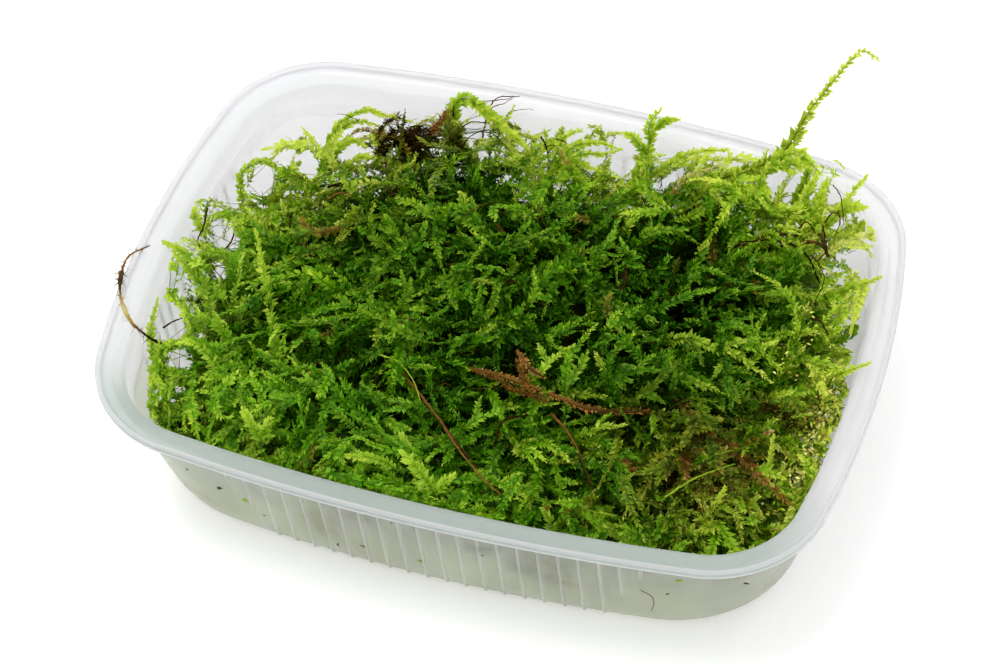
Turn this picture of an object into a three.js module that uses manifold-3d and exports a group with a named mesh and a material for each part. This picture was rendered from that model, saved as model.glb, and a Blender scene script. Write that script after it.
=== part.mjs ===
// Potted bogor moss: feathery aquatic moss growing in a small ribbed plastic food tub.
// The tub stands on its flat base at z = 0, with its long side along X and its near side at -Y.
import * as THREE from 'three';
import Module from 'manifold-3d';
import { mergeVertices } from 'three/addons/utils/BufferGeometryUtils.js';

const wasm = await Module();
wasm.setup();

// Tub plan: bowed ends and sides with round corners, at the rim and where the wall meets the base
const RIM = { halfLength: 54, halfWidth: 41, corner: 17.1, end: 148, side: 319 };
const BASE = { halfLength: 48, halfWidth: 33.7, corner: 19, end: 101, side: 253 };

// Tub section
const TUB_HEIGHT = 24;
const WALL = 0.8;
const FLOOR = 0.9;
const BASE_FILLET = 3;
const FLANGE_WIDTH = 4;
const FLANGE_FLAT = [0.7, 2.3];
const SKIRT_DROP = 1.3;
const EDGE_ROUND = 0.35;
const INNER_EDGE_DROP = 1.2;
const LEDGE_HEIGHT = 18;
const LEDGE_RISE = 0.5;

// Ribs outside the wall, below the ledge
const RIB_PITCH = 2.8;
const RIB_PROUD = 0.45;
const RIB_HALF_WIDTH = 0.7;
const RIB_FOOT = 1;
const LONG_SIDE_RIBS = 22;
const SHORT_SIDE_RIBS = 14;

// Facets of one quarter of the tub's outline
const END_STEPS = 2;
const CORNER_STEPS = 4;
const SIDE_STEPS = 2;
const FILLET_STEPS = 2;

// Moss
const GAP = 0.5;
const MOSS_GAP = 0.5;
const MOSS_BOTTOM_SHARE = 0.94;
const MOSS_SIDE_TOP = 14;
const MOSS_EDGE_HEIGHT = 21.4;
const MOSS_CROWN_HEIGHT = 24.4;
const SHOULDER_DROP = 2.6;
const SHOULDER_POWER = 12;
const BACK_TILT = 0.012;
const LUMP_HEIGHT = 0.9;
const LUMP_LENGTH = 7;
const LUMP_PHASE = 1;
const LUMP_SLANT = 1 / 3;
const BARE_CORNER = { angle: 145, halfAngle: 30, depth: 0.2 };
const TOP_EDGE_SHARE = 0.97;
const TOP_RINGS = 10;
const MOSS_TOLERANCE = 0.35;

// Hollows and knolls of the moss's top: where each is, and how far it spreads
const HOLLOWS = [
  [36, -10.5, 4], [35.9, 8.1, 4], [-16.7, -18.8, 3.5], [24.2, 17.9, 3.5], [-33.5, -15, 4],
  [-2.8, -17.6, 3.5], [-12.7, 19.2, 3.5], [8.1, 15.9, 3.5], [18.8, 6.5, 5.5], [4.8, -6.9, 3.5],
  [30, -24.4, 4.5], [-20.8, -3.6, 3],
];
const KNOLLS = [
  [-40, -21, 4], [-41, -4, 3], [-2.8, -31, 3.5], [21.7, 27.4, 4], [42.5, -13.4, 3], [33.4, 1.6, 2.5],
  [40.1, 16.3, 3.5], [-25.5, -30.5, 3.5], [1.2, -1.4, 3], [12.5, -26.5, 3], [14.9, -9.4, 2.5],
  [-24.5, -7.5, 3], [-9.2, 6, 3.5],
];
const HOLLOW_DEPTH = 2.6;
const KNOLL_HEIGHT = 1.5;
const RELIEF_FADE = 0.25;
const RELIEF_LEAST = 0.3;

// Tufts fused to the moss
const TUFT_COUNT = 14;
const TUFT_LENGTH = [8, 12];
const TUFT_RISE = [1.6, 3];
const TUFT_SUNK = 0.8;
const TUFT_WIDTH = 4.4;
const TUFT_LEAF_STEP = 4.2;
const TUFT_REACH = 0.95;
const TUFT_SEED = 11;
const GOLDEN_SHARE = 0.618;

// Leaves of a shoot: pairs along the stem, pointing forward, in the plane that faces up and forward
const LEAF_FACE = new THREE.Vector3(0.1, -0.5, 0.85).normalize();
const LEAF_STEP = 2.5;
const LEAF_TIP_SHARE = 0.8;
const STEM_SHARE = 0.4;
const SHOOT_THICKNESS = 0.7;
const TIP_SHARE = 0.45;
const STEM_SIDES = 4;
const STEM_STEP = 2.6;
const STEM_TIP_SHARE = 0.5;
const SOCKET_TOP_SHARE = 0.75;
const SOCKET_STEP = 4;

// Shoots that stand out from the clump, each a line of points from its root to its tip
const SHOOTS = [
  {
    name: 'long_shoot', width: 2.6,
    route: [[14, 27, 20], [20.5, 29.5, 23.5], [26, 31, 25.5], [31, 35.5, 27], [34, 40, 32.5],
      [37.5, 44, 37.5], [40.5, 47, 38.5]],
  },
  { name: 'long_shoot_branch', width: 2.2, route: [[33.5, 31.5, 20], [35, 34, 24], [34.5, 36.5, 26]] },
  {
    name: 'back_arch_shoot', width: 2.2,
    route: [[-17, 28, 19.5], [-18, 32, 24], [-15.5, 34, 26.5], [-10, 32.5, 26], [-4.5, 29.5, 23.5]],
  },
  {
    name: 'back_left_arch_shoot', width: 1.9,
    route: [[-36, 21, 17.5], [-35, 26, 22], [-31.5, 29.5, 24.5], [-28.5, 28.8, 22.5]],
  },
  {
    name: 'left_arch_shoot', width: 1.9,
    route: [[-43.5, 10, 17], [-45.5, 14.5, 21], [-42.5, 17, 22.5], [-38, 16.5, 19]],
  },
  {
    name: 'back_curled_shoot', width: 2.2,
    route: [[10, 28, 20], [11.5, 32.5, 24], [12, 35.5, 26.5], [14.5, 37, 27.5]],
  },
  {
    name: 'back_pale_shoot', width: 2.2,
    route: [[9, 24, 21], [14, 29.5, 24], [18, 33, 25.5], [22.5, 34.5, 26]],
  },
  { name: 'back_fork_shoot', width: 2.2, route: [[-1, 25.5, 21], [3, 28.5, 24.2], [8, 30.5, 25.5]] },
  {
    name: 'right_corner_shoot', width: 2,
    route: [[37, 22, 19.5], [40.5, 27, 24], [42.5, 30, 27], [44, 32, 29]],
  },
  { name: 'right_pale_shoot', width: 2.6, route: [[36, 24, 19.5], [37.5, 29, 24], [38.5, 31.5, 27]] },
  { name: 'right_wall_shoot', width: 2, route: [[42, 16, 19], [46, 16.5, 22.5], [49.5, 17, 25.2]] },
  { name: 'right_low_shoot', width: 1.9, route: [[44, -2, 18.5], [47.5, 0, 22.5], [51.5, 1, 25.4]] },
  {
    name: 'left_tall_shoot', width: 2.4,
    route: [[-26, -21, 21.5], [-28.5, -16.5, 24.5], [-33, -8, 25.5], [-37.5, 0.5, 26]],
  },
  { name: 'left_edge_shoot', width: 2, route: [[-44, -23, 16.5], [-47, -18, 20.5], [-48, -12.5, 22]] },
  { name: 'left_tip_shoot', width: 2.4, route: [[-39.5, -10.5, 20], [-44, -7.5, 22.5], [-48, -5, 24]] },
  { name: 'front_left_shoot', width: 2.4, route: [[-22, -30, 18.5], [-26, -29.5, 22], [-29.5, -28, 24.5]] },
  {
    name: 'front_middle_shoot', width: 2.4,
    route: [[-1, -31.5, 19], [-3.5, -30.5, 22.5], [-6, -28.5, 25]],
  },
  {
    name: 'front_right_shoot', width: 2.4,
    route: [[34.5, -29, 17.5], [36.5, -27.5, 21.5], [38, -25, 24.5]],
  },
  { name: 'front_pale_shoot', width: 1.9, route: [[41.5, -22.5, 17.5], [42.5, -19, 22], [42, -14, 24]] },
];

// Dead stems and root threads, without leaves
const STEMS = [
  {
    name: 'brown_centre_stem', radius: 0.5,
    route: [[-1.5, -13, 23], [5, -15, 25.2], [11, -16, 25.2], [18, -16.5, 24.6], [26, -14, 23.8],
      [34, -12, 21.5]],
  },
  { name: 'brown_side_twig', radius: 0.4, route: [[5, -11, 26.5], [8, -13.6, 26.4], [10, -14.4, 26.4]] },
  {
    name: 'brown_diagonal_stem', radius: 0.4,
    route: [[-9.5, -17, 23.5], [-4, -22.5, 25], [3, -28, 23.6], [10, -31.5, 20.5]],
  },
  {
    name: 'brown_front_stem', radius: 0.4,
    route: [[12, -18, 23.5], [16, -22, 24.4], [20, -27, 22.8], [22, -29.5, 20]],
  },
  {
    name: 'dark_corner_stem', radius: 0.4,
    route: [[28, 20, 22], [33, 20.5, 24.5], [38, 20, 24], [41, 18, 20.5]],
  },
  {
    name: 'rim_root_thread', radius: 0.35, knot: { at: 0.66, radius: 0.8, length: 0.06 },
    route: [[-43.5, -19, 20], [-46.5, -20.5, 24], [-49.5, -19, 25.2], [-52.3, -15, 25.2],
      [-53.5, -11, 25.4], [-53.5, -8, 25.2], [-51.5, -5.5, 25]],
  },
  {
    name: 'back_root_thread', radius: 0.3,
    route: [[-13.5, 30, 20.5], [-13, 35.5, 25.2], [-9.5, 37.5, 25.4]],
  },
];

// Dark root tangle at the back
const TANGLE_CENTRE = [-22.5, 27, 22.6];
const TANGLE_SIZE = [9, 4.6, 3.4];
const TANGLE_TURN = 30;
const TANGLE_ROUGHNESS = 0.1;
const TANGLE_WAVES = 5;

// Looks of the materials
const PLASTIC = { color: 0xe6eaec, roughness: 0.35 };
const MOSS_GREEN = { color: 0x3c6a12, roughness: 0.8 };
const LIME = { color: 0x9cbc35, roughness: 0.6 };
const BROWN = { color: 0x6b4320, roughness: 0.75 };
const DARK = { color: 0x2c2015, roughness: 0.85 };

function degrees(angle) {
  return THREE.MathUtils.degToRad(angle);
}

function seededRandom(seed) {
  const multiplier = 16807;
  const modulus = 2147483647;
  let state = seed;
  return (low, high) => {
    state = (state * multiplier) % modulus;
    return low + (high - low) * (state / modulus);
  };
}

// A plan moved inwards by a distance: every half size and radius shrinks by it
function inset(plan, distance) {
  return Object.fromEntries(Object.entries(plan).map(([key, value]) => [key, value - distance]));
}

function blend(low, high, share) {
  const between = (key) => low[key] + (high[key] - low[key]) * share;
  return Object.fromEntries(Object.keys(low).map((key) => [key, between(key)]));
}

// The circle centres of a plan's first quarter, where the corner arc touches both its neighbours
function arcCentres(plan) {
  const endX = plan.halfLength - plan.end;
  const sideY = plan.halfWidth - plan.side;
  const apart = Math.hypot(endX, sideY);
  const fromSide = plan.side - plan.corner;
  const fromEnd = plan.end - plan.corner;
  const along = (fromSide ** 2 - fromEnd ** 2 + apart ** 2) / (2 * apart);
  const across = Math.sqrt(fromSide ** 2 - along ** 2);
  const cornerX = (along * endX - across * sideY) / apart;
  const cornerY = sideY + (-along * sideY - across * endX) / apart;
  return { endX, sideY, cornerX, cornerY };
}

function arcPoints(x, y, radius, start, stop, steps) {
  const points = [];
  for (let i = 0; i < steps; i++) {
    const angle = start + ((stop - start) * i) / steps;
    points.push([x + radius * Math.cos(angle), y + radius * Math.sin(angle)]);
  }
  return points;
}

// A plan's outline, counterclockwise from the middle of the right end
function outline(plan) {
  const { endX, sideY, cornerX, cornerY } = arcCentres(plan);
  const cornerStart = Math.atan2(cornerY, cornerX - endX);
  const cornerStop = Math.atan2(cornerY - sideY, cornerX);
  const quarter = [
    ...arcPoints(endX, 0, plan.end, 0, cornerStart, END_STEPS),
    ...arcPoints(cornerX, cornerY, plan.corner, cornerStart, cornerStop, CORNER_STEPS),
    ...arcPoints(0, sideY, plan.side, cornerStop, Math.PI / 2, SIDE_STEPS),
  ];
  const top = [0, plan.halfWidth];
  const half = [...quarter, top, ...quarter.slice(1).reverse().map(([x, y]) => [-x, y])];
  return [...half, ...half.map(([x, y]) => [-x, -y])];
}

function planRing(plan, z) {
  return outline(plan).map(([x, y]) => new THREE.Vector3(x, y, z));
}

// The outside of the wall below the ledge, as if the base fillet weren't there
function wallPlan(z) {
  return blend(BASE, inset(RIM, FLANGE_WIDTH), z / LEDGE_HEIGHT);
}

function ringCentre(ring) {
  return ring.reduce((sum, point) => sum.add(point), new THREE.Vector3()).divideScalar(ring.length);
}

// A closed skin through rings that run counterclockwise seen from the last one, with a fan over each end
function loft(rings, tip = ringCentre(rings.at(-1))) {
  const count = rings[0].length;
  const points = [...rings.flat(), ringCentre(rings[0]), tip];
  const [firstCentre, lastCentre] = [points.length - 2, points.length - 1];
  const lastRing = (rings.length - 1) * count;
  const faces = [];
  for (let j = 0; j < count; j++) {
    const next = (j + 1) % count;
    for (let row = 0; row < lastRing; row += count) {
      faces.push(row + j, row + next, row + count + next);
      faces.push(row + j, row + count + next, row + count + j);
    }
    faces.push(firstCentre, next, j);
    faces.push(lastCentre, lastRing + j, lastRing + next);
  }
  const geometry = new THREE.BufferGeometry().setFromPoints(points);
  geometry.setIndex(faces);
  return geometry;
}

function toSolid(geometry) {
  const vertProperties = Float32Array.from(geometry.attributes.position.array);
  const triVerts = Uint32Array.from(geometry.index.array);
  return new wasm.Manifold(new wasm.Mesh({ numProp: 3, vertProperties, triVerts }));
}

function toGeometry(solid) {
  const { vertProperties, triVerts } = solid.getMesh();
  const geometry = new THREE.BufferGeometry();
  geometry.setAttribute('position', new THREE.BufferAttribute(vertProperties, 3));
  geometry.setIndex(new THREE.BufferAttribute(triVerts, 1));
  return geometry;
}

function joinAll(first, geometries) {
  return geometries.reduce((solid, geometry) => solid.add(toSolid(geometry)), toSolid(first));
}

function largestBody(solid) {
  const bodies = solid.decompose();
  return bodies.reduce((largest, body) => (body.volume() > largest.volume() ? body : largest));
}

function makeMesh(name, geometry, look) {
  geometry.computeVertexNormals();
  const material = new THREE.MeshStandardMaterial({ ...look, metalness: 0, flatShading: true });
  const mesh = new THREE.Mesh(geometry, material);
  mesh.name = name;
  return mesh;
}

// Rings round the bottom edge, from the floor up to where the wall leaves the fillet
function filletRings(bottom, radius, wallInset) {
  const rings = [];
  for (let i = 0; i <= FILLET_STEPS; i++) {
    const angle = (Math.PI / 2) * (1 - i / FILLET_STEPS);
    const z = bottom + radius * (1 - Math.sin(angle));
    rings.push(planRing(inset(wallPlan(z), wallInset + radius * (1 - Math.cos(angle))), z));
  }
  return rings;
}

function outsideRings() {
  const neck = inset(RIM, FLANGE_WIDTH - WALL);
  const underFlange = TUB_HEIGHT - SKIRT_DROP + WALL / 2;
  return [
    ...filletRings(0, BASE_FILLET, 0),
    planRing(wallPlan(LEDGE_HEIGHT), LEDGE_HEIGHT),
    planRing(neck, LEDGE_HEIGHT + LEDGE_RISE),
    planRing(neck, TUB_HEIGHT - INNER_EDGE_DROP - WALL),
    planRing(inset(RIM, WALL), underFlange),
    planRing(inset(RIM, WALL), TUB_HEIGHT - SKIRT_DROP),
    planRing(RIM, TUB_HEIGHT - SKIRT_DROP),
    planRing(RIM, TUB_HEIGHT - EDGE_ROUND),
    planRing(inset(RIM, FLANGE_FLAT[0]), TUB_HEIGHT),
  ];
}

function insideRings() {
  const neck = inset(RIM, FLANGE_WIDTH);
  return [
    planRing(inset(RIM, FLANGE_FLAT[1]), TUB_HEIGHT),
    planRing(inset(RIM, FLANGE_WIDTH - EDGE_ROUND), TUB_HEIGHT - INNER_EDGE_DROP / 2),
    planRing(neck, TUB_HEIGHT - INNER_EDGE_DROP),
    planRing(neck, LEDGE_HEIGHT + LEDGE_RISE + WALL / 2),
    planRing(inset(wallPlan(LEDGE_HEIGHT), WALL), LEDGE_HEIGHT + WALL / 2),
    ...filletRings(FLOOR, BASE_FILLET - WALL, WALL).reverse(),
  ];
}

// A rib's section at one height: two points sunk in the wall and one proud of it
function ribSection(plan, z, side, offset) {
  const radius = side ? plan.side : plan.end;
  const middle = side ? plan.halfWidth : plan.halfLength;
  const corners = [[-RIB_HALF_WIDTH, -WALL / 2], [0, RIB_PROUD], [RIB_HALF_WIDTH, -WALL / 2]];
  return corners.map(([across, proud]) => {
    const angle = offset / radius;
    const out = middle - radius + (radius + proud) * Math.cos(angle) - across * Math.sin(angle);
    const along = (radius + proud) * Math.sin(angle) + across * Math.cos(angle);
    return side ? new THREE.Vector3(-along, out, z) : new THREE.Vector3(out, along, z);
  });
}

function rib(side, offset, turned) {
  const top = LEDGE_HEIGHT + LEDGE_RISE / 2;
  const foot = inset(wallPlan(RIB_FOOT), WALL);
  const sections = [
    ribSection(foot, RIB_FOOT, side, offset),
    ribSection(wallPlan(BASE_FILLET), BASE_FILLET, side, offset),
    ribSection(wallPlan(top), top, side, offset),
  ];
  const turn = new THREE.Vector3(turned ? -1 : 1, turned ? -1 : 1, 1);
  return loft(sections.map((points) => points.map((point) => point.multiply(turn))));
}

function ribs() {
  const all = [];
  for (const turned of [false, true]) {
    for (const [side, count] of [[true, LONG_SIDE_RIBS], [false, SHORT_SIDE_RIBS]]) {
      for (let i = 0; i < count; i++) {
        all.push(rib(side, (i - (count - 1) / 2) * RIB_PITCH, turned));
      }
    }
  }
  return all;
}

function makeTub() {
  const shell = loft([...outsideRings(), ...insideRings()]);
  return makeMesh('tub', toGeometry(joinAll(shell, ribs())), PLASTIC);
}

// A point of a route with the directions across the leaves and out of their face
function routeFrame(curve, share) {
  const point = curve.getPointAt(share);
  const travel = curve.getTangentAt(share);
  const face = LEAF_FACE.clone().addScaledVector(travel, -LEAF_FACE.dot(travel)).normalize();
  return { point, face, across: new THREE.Vector3().crossVectors(face, travel) };
}

function section(curve, share, corners) {
  const { point, face, across } = routeFrame(curve, share);
  const place = ([side, out]) => point.clone().addScaledVector(across, side).addScaledVector(face, out);
  return corners.map(place);
}

function toCurve(route) {
  return new THREE.CatmullRomCurve3(route.map((point) => new THREE.Vector3(...point)));
}

// A feathery shoot: a flat blade with a ridge, whose edge steps out at each pair of leaves
function shootGeometry(route, width, leafStep = LEAF_STEP) {
  const curve = toCurve(route);
  const pairs = Math.max(2, Math.round(curve.getLength() / leafStep));
  const rings = [];
  for (let pair = 0; pair < pairs; pair++) {
    const taper = 1 - (1 - TIP_SHARE) * (pair / pairs) ** 2;
    const half = (width / 2) * taper;
    const ridge = SHOOT_THICKNESS * taper;
    const stem = [[-half * STEM_SHARE, 0], [half * STEM_SHARE, 0], [0, ridge]];
    rings.push(section(curve, pair / pairs, stem));
    rings.push(section(curve, (pair + LEAF_TIP_SHARE) / pairs, [[-half, 0], [half, 0], [0, ridge]]));
  }
  return loft(rings, curve.getPointAt(1));
}

function stemRadius({ radius, knot }, share) {
  const taper = radius * (1 - (1 - STEM_TIP_SHARE) * share);
  return knot && Math.abs(share - knot.at) < knot.length ? knot.radius : taper;
}

function polygon(radius, sides) {
  return Array.from({ length: sides }, (_, i) => {
    const angle = (2 * Math.PI * i) / sides;
    return [radius * Math.cos(angle), radius * Math.sin(angle)];
  });
}

function stemGeometry(stem) {
  const curve = toCurve(stem.route);
  const steps = Math.round(curve.getLength() / STEM_STEP);
  const rings = [];
  for (let i = 0; i <= steps; i++) {
    rings.push(section(curve, i / steps, polygon(stemRadius(stem, i / steps), STEM_SIDES)));
  }
  return loft(rings);
}

// The room that a shoot or stem takes out of the moss, a gap larger all round
function socket(route, halfWidth, above, below) {
  const curve = toCurve(route);
  const steps = Math.max(2, Math.round(curve.getLength() / SOCKET_STEP));
  const rings = [];
  for (let i = 0; i <= steps; i++) {
    const topHalf = halfWidth * SOCKET_TOP_SHARE;
    const corners = [[-halfWidth, -below], [halfWidth, -below], [topHalf, above], [-topHalf, above]];
    rings.push(section(curve, i / steps, corners));
  }
  const ends = [0, 1].map((share) => curve.getTangentAt(share).multiplyScalar(GAP));
  rings[0].forEach((point) => point.sub(ends[0]));
  rings.at(-1).forEach((point) => point.add(ends[1]));
  return loft(rings);
}

function shootSocket({ route, width }) {
  return socket(route, width / 2 + GAP, SHOOT_THICKNESS + GAP, GAP);
}

function stemSocket({ route, radius }) {
  return socket(route, radius + GAP, radius + GAP, radius + GAP);
}

// How far the moss keeps off the bare corner, as a share of its plan
function bareShare(x, y) {
  const turn = Math.abs(Math.atan2(y, x) - degrees(BARE_CORNER.angle));
  const phase = Math.min(turn / degrees(BARE_CORNER.halfAngle), 1);
  return BARE_CORNER.depth * Math.cos((Math.PI / 2) * phase) ** 2;
}

// The height that round bumps add at a point
function bumps(list, height, x, y) {
  const spread = ([bumpX, bumpY, radius]) => Math.exp(-((x - bumpX) ** 2 + (y - bumpY) ** 2) / radius ** 2);
  return height * list.reduce((sum, bump) => sum + spread(bump), 0);
}

function mossTop(x, y, share) {
  const mound = (MOSS_CROWN_HEIGHT - MOSS_EDGE_HEIGHT) * (1 - share ** 2);
  const lumps = Math.sin(x / LUMP_LENGTH + LUMP_PHASE) * Math.cos((y - LUMP_SLANT * x) / LUMP_LENGTH);
  const shoulder = SHOULDER_DROP * share ** SHOULDER_POWER;
  const relief = bumps(KNOLLS, KNOLL_HEIGHT, x, y) - bumps(HOLLOWS, HOLLOW_DEPTH, x, y);
  const fade = THREE.MathUtils.clamp((1 - share) / RELIEF_FADE, RELIEF_LEAST, 1);
  return MOSS_EDGE_HEIGHT + mound + LUMP_HEIGHT * lumps + relief * fade + BACK_TILT * y - shoulder;
}

function mossPlan(z) {
  return inset(wallPlan(z), WALL + MOSS_GAP);
}

// The moss's plan at one height: inside the wall, less the bare corner, with a point halfway each side
function mossRing(z, scale = 1) {
  const edge = planRing(mossPlan(z), z).map((point) => {
    const share = scale * (1 - bareShare(point.x, point.y));
    return point.multiply(new THREE.Vector3(share, share, 1));
  });
  return edge.flatMap((point, i) => [point, ringCentre([point, edge[(i + 1) % edge.length]])]);
}

function mossTopRing(share) {
  return mossRing(MOSS_SIDE_TOP, share).map(({ x, y }) => new THREE.Vector3(x, y, mossTop(x, y, share)));
}

function mossBody() {
  const foot = mossRing(FLOOR + MOSS_GAP, MOSS_BOTTOM_SHARE);
  const sides = [BASE_FILLET + 1, MOSS_SIDE_TOP].map((z) => mossRing(z));
  const ringShares = Array.from({ length: TOP_RINGS }, (_, i) => TOP_EDGE_SHARE * (1 - i / TOP_RINGS));
  const top = ringShares.map(mossTopRing);
  const crown = new THREE.Vector3(0, 0, mossTop(0, 0, 0));
  return loft([foot, ...sides, ...top], crown);
}

// Tufts lie over the moss in all directions, spread evenly by golden steps round growing rings
function tufts() {
  const random = seededRandom(TUFT_SEED);
  const all = [];
  for (let i = 0; i < TUFT_COUNT; i++) {
    const share = TUFT_REACH * Math.sqrt((i + 0.5) / TUFT_COUNT);
    const ring = new THREE.CatmullRomCurve3(mossTopRing(share), true);
    const root = ring.getPointAt((i * GOLDEN_SHARE) % 1);
    const heading = random(-Math.PI, Math.PI);
    const length = random(...TUFT_LENGTH);
    const rise = random(...TUFT_RISE);
    const reach = new THREE.Vector3(Math.cos(heading), Math.sin(heading), 0).multiplyScalar(length);
    const middle = root.clone().addScaledVector(reach, 0.5).setZ(root.z + rise);
    const tip = root.clone().add(reach).setZ(root.z + rise / 2);
    const route = [root.clone().setZ(root.z - TUFT_SUNK), middle, tip].map((point) => point.toArray());
    all.push(shootGeometry(route, TUFT_WIDTH, TUFT_LEAF_STEP));
  }
  return all;
}

// The space inside the tub's wall that tufts may fill, open above the rim
function mossSpace() {
  const above = 2 * TUB_HEIGHT;
  const atLedge = mossPlan(LEDGE_HEIGHT);
  const rings = [planRing(mossPlan(0), 0), planRing(atLedge, LEDGE_HEIGHT), planRing(atLedge, above)];
  return toSolid(loft(rings));
}

function makeMoss() {
  let solid = joinAll(mossBody(), tufts()).intersect(mossSpace()).simplify(MOSS_TOLERANCE);
  for (const room of [...SHOOTS.map(shootSocket), ...STEMS.map(stemSocket), tangleGeometry(GAP)]) {
    solid = solid.subtract(toSolid(room));
  }
  return makeMesh('moss_cushion', toGeometry(largestBody(solid)), MOSS_GREEN);
}

// A lumpy flattened ball of dark roots
function tangleGeometry(grow) {
  const ball = new THREE.IcosahedronGeometry(1, 2);
  ball.deleteAttribute('normal');
  ball.deleteAttribute('uv');
  const geometry = mergeVertices(ball);
  const position = geometry.attributes.position;
  const size = new THREE.Vector3(...TANGLE_SIZE).divideScalar(2).addScalar(grow);
  for (let i = 0; i < position.count; i++) {
    const point = new THREE.Vector3().fromBufferAttribute(position, i);
    const lumps = Math.sin(TANGLE_WAVES * point.x) * Math.cos(TANGLE_WAVES * (point.y + point.z));
    point.multiply(size).multiplyScalar(1 + TANGLE_ROUGHNESS * lumps);
    position.setXYZ(i, point.x, point.y, point.z);
  }
  geometry.rotateZ(degrees(TANGLE_TURN));
  return geometry.translate(...TANGLE_CENTRE);
}

const group = new THREE.Group();
group.add(makeTub());
group.add(makeMoss());
for (const { name, route, width } of SHOOTS) {
  group.add(makeMesh(name, shootGeometry(route, width), LIME));
}
for (const stem of STEMS) {
  group.add(makeMesh(stem.name, stemGeometry(stem), BROWN));
}
group.add(makeMesh('back_root_tangle', tangleGeometry(0), DARK));
export default group;
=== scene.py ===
"""Potted bogor moss: a tangle of feathery moss shoots in a small ribbed tub of milky plastic."""
import math

import bpy
import numpy as np
from mathutils import Matrix, Vector


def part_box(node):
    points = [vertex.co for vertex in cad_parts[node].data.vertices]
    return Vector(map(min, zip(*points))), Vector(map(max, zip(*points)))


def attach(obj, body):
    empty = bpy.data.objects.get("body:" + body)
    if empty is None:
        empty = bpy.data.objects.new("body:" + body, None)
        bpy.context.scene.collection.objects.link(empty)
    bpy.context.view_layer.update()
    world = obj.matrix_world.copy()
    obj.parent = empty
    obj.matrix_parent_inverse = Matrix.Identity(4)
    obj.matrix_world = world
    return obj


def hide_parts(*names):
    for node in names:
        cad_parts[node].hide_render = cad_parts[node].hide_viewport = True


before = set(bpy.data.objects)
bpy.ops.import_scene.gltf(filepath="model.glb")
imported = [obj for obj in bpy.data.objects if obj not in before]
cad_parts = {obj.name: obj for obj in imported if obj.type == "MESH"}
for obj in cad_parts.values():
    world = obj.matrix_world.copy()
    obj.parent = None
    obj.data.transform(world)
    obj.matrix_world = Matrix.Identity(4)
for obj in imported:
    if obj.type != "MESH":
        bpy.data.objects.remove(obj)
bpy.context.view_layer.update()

MM = 0.001
# The least that a distance and a vector's length are taken as before dividing by them
LEAST_DISTANCE = 1e-6
LEAST_LENGTH = 1e-9
# Seeds of the random draws
SEEDS = dict(flecks=17, tangle=5, core=8, twigs=44, hairs=12, shoots=21, stems=33, root_knot=3)

# The photograph's camera: angles in degrees, lengths in millimetres
CAMERA_AZIMUTH = 18.8
CAMERA_ELEVATION = 49.25
CAMERA_ROLL = -2.04
CAMERA_DISTANCE = 417.8
CAMERA_TARGET = (1.1, -6.5, 24.0)
LENS = 108.1
SENSOR = 36.0

# Tub plan at the rim and where the wall meets the base: half sizes and radii
RIM = dict(length=54.0, width=41.0, corner=17.1, end=148.0, side=319.0)
BASE = dict(length=48.0, width=33.7, corner=19.0, end=101.0, side=253.0)

# Tub section
TUB_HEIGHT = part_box("tub")[1].z / MM
WALL = 0.8
FLOOR = 0.9
BASE_FILLET = 3.0
FLANGE_WIDTH = 4.0
FLANGE_FLAT = (0.7, 2.3)
SKIRT_DROP = 1.3
EDGE_ROUND = 0.35
INNER_EDGE_DROP = 1.2
LEDGE_HEIGHT = 18.0
LEDGE_RISE = 0.5
RIB_PITCH = 2.8
RIB_PROUD = 0.45
RIB_SECTION = [(-0.34, 0.0), (-0.24, 0.15), (-0.1, 0.9), (0.0, 1.0), (0.1, 0.9), (0.24, 0.15), (0.34, 0.0),
               (RIB_PITCH / 2, 0.0)]
# Heights where ribs start: most of them, the last but one and the last on each half side
RIB_FEET = [1.0, 9.0, 14.5]
LONG_SIDE_RIBS = 22
SHORT_SIDE_RIBS = 14
CORNER_POINTS = 18
FILLET_STEPS = 6
WALL_STEPS = 5
LEDGE_MILK = 0.5
EDGE_MILK = 0.9
FLANGE_MILK = 0.3
# The rounded outer edge, upward and inward: how far in and how far below the top, in radii, and its milk
OUTER_EDGE = [
    (0, 1.15, 0), (0, 1, EDGE_MILK), (0.13, 0.5, EDGE_MILK), (0.5, 0.13, EDGE_MILK), (1.3, 0, EDGE_MILK),
    (1.7, 0, FLANGE_MILK / 2),
]
# The lower outer edge, inner side first: how far in, in walls, how far above the skirt's foot, in radii
LOWER_EDGE = [(1, 1 / 3), (0.75, 0), (0.25, 0), (0, 1 / 3), (0, 0.9)]
LOWER_EDGE_END = 1.3
# The flange's slope to its inner edge: share of its width and share of its drop
FLANGE_SLOPE = [(0.15, 0.04), (0.35, 0.2), (0.7, 0.6), (0.9, 0.9)]
INNER_EDGE_END = 1.25
# Near wall film, partly smudges and partly painted shade, and the rim's painted shade: where each starts and
# how wide its growth is
FILM_AND_PAINTED_SHADE = (16.0, 10.0)
PAINTED_RIM_SHADE = (20.0, 14.0)
# The left side's share of the rim's painted shade, and the share of it that the bright edges lose
LEFT_PAINTED_RIM_SHADE = 0.15
EDGE_SHADE_LOSS = 0.7

# Moss form, as in the solids
MOSS_GAP = 0.5
MOSS_EDGE_HEIGHT = 21.4
MOSS_CROWN_HEIGHT = 24.4
SHOULDER_DROP = 2.6
SHOULDER_POWER = 12
LUMP_HEIGHT = 0.9
LUMP_LENGTH = 7.0
LUMP_PHASE = 1.0
LUMP_SLANT = 1 / 3
BACK_TILT = 0.012
# Where the moss keeps off the wall: angle from the right end, half angle, share of the reach
BARE_PARTS = [
    (145, 30, 0.2), (150, 40, 0.05), (200, 26, 0.045), (208, 16, 0.04), (78, 16, 0.07), (5, 26, 0.03),
    (102, 9, 0.09),
]
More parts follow.
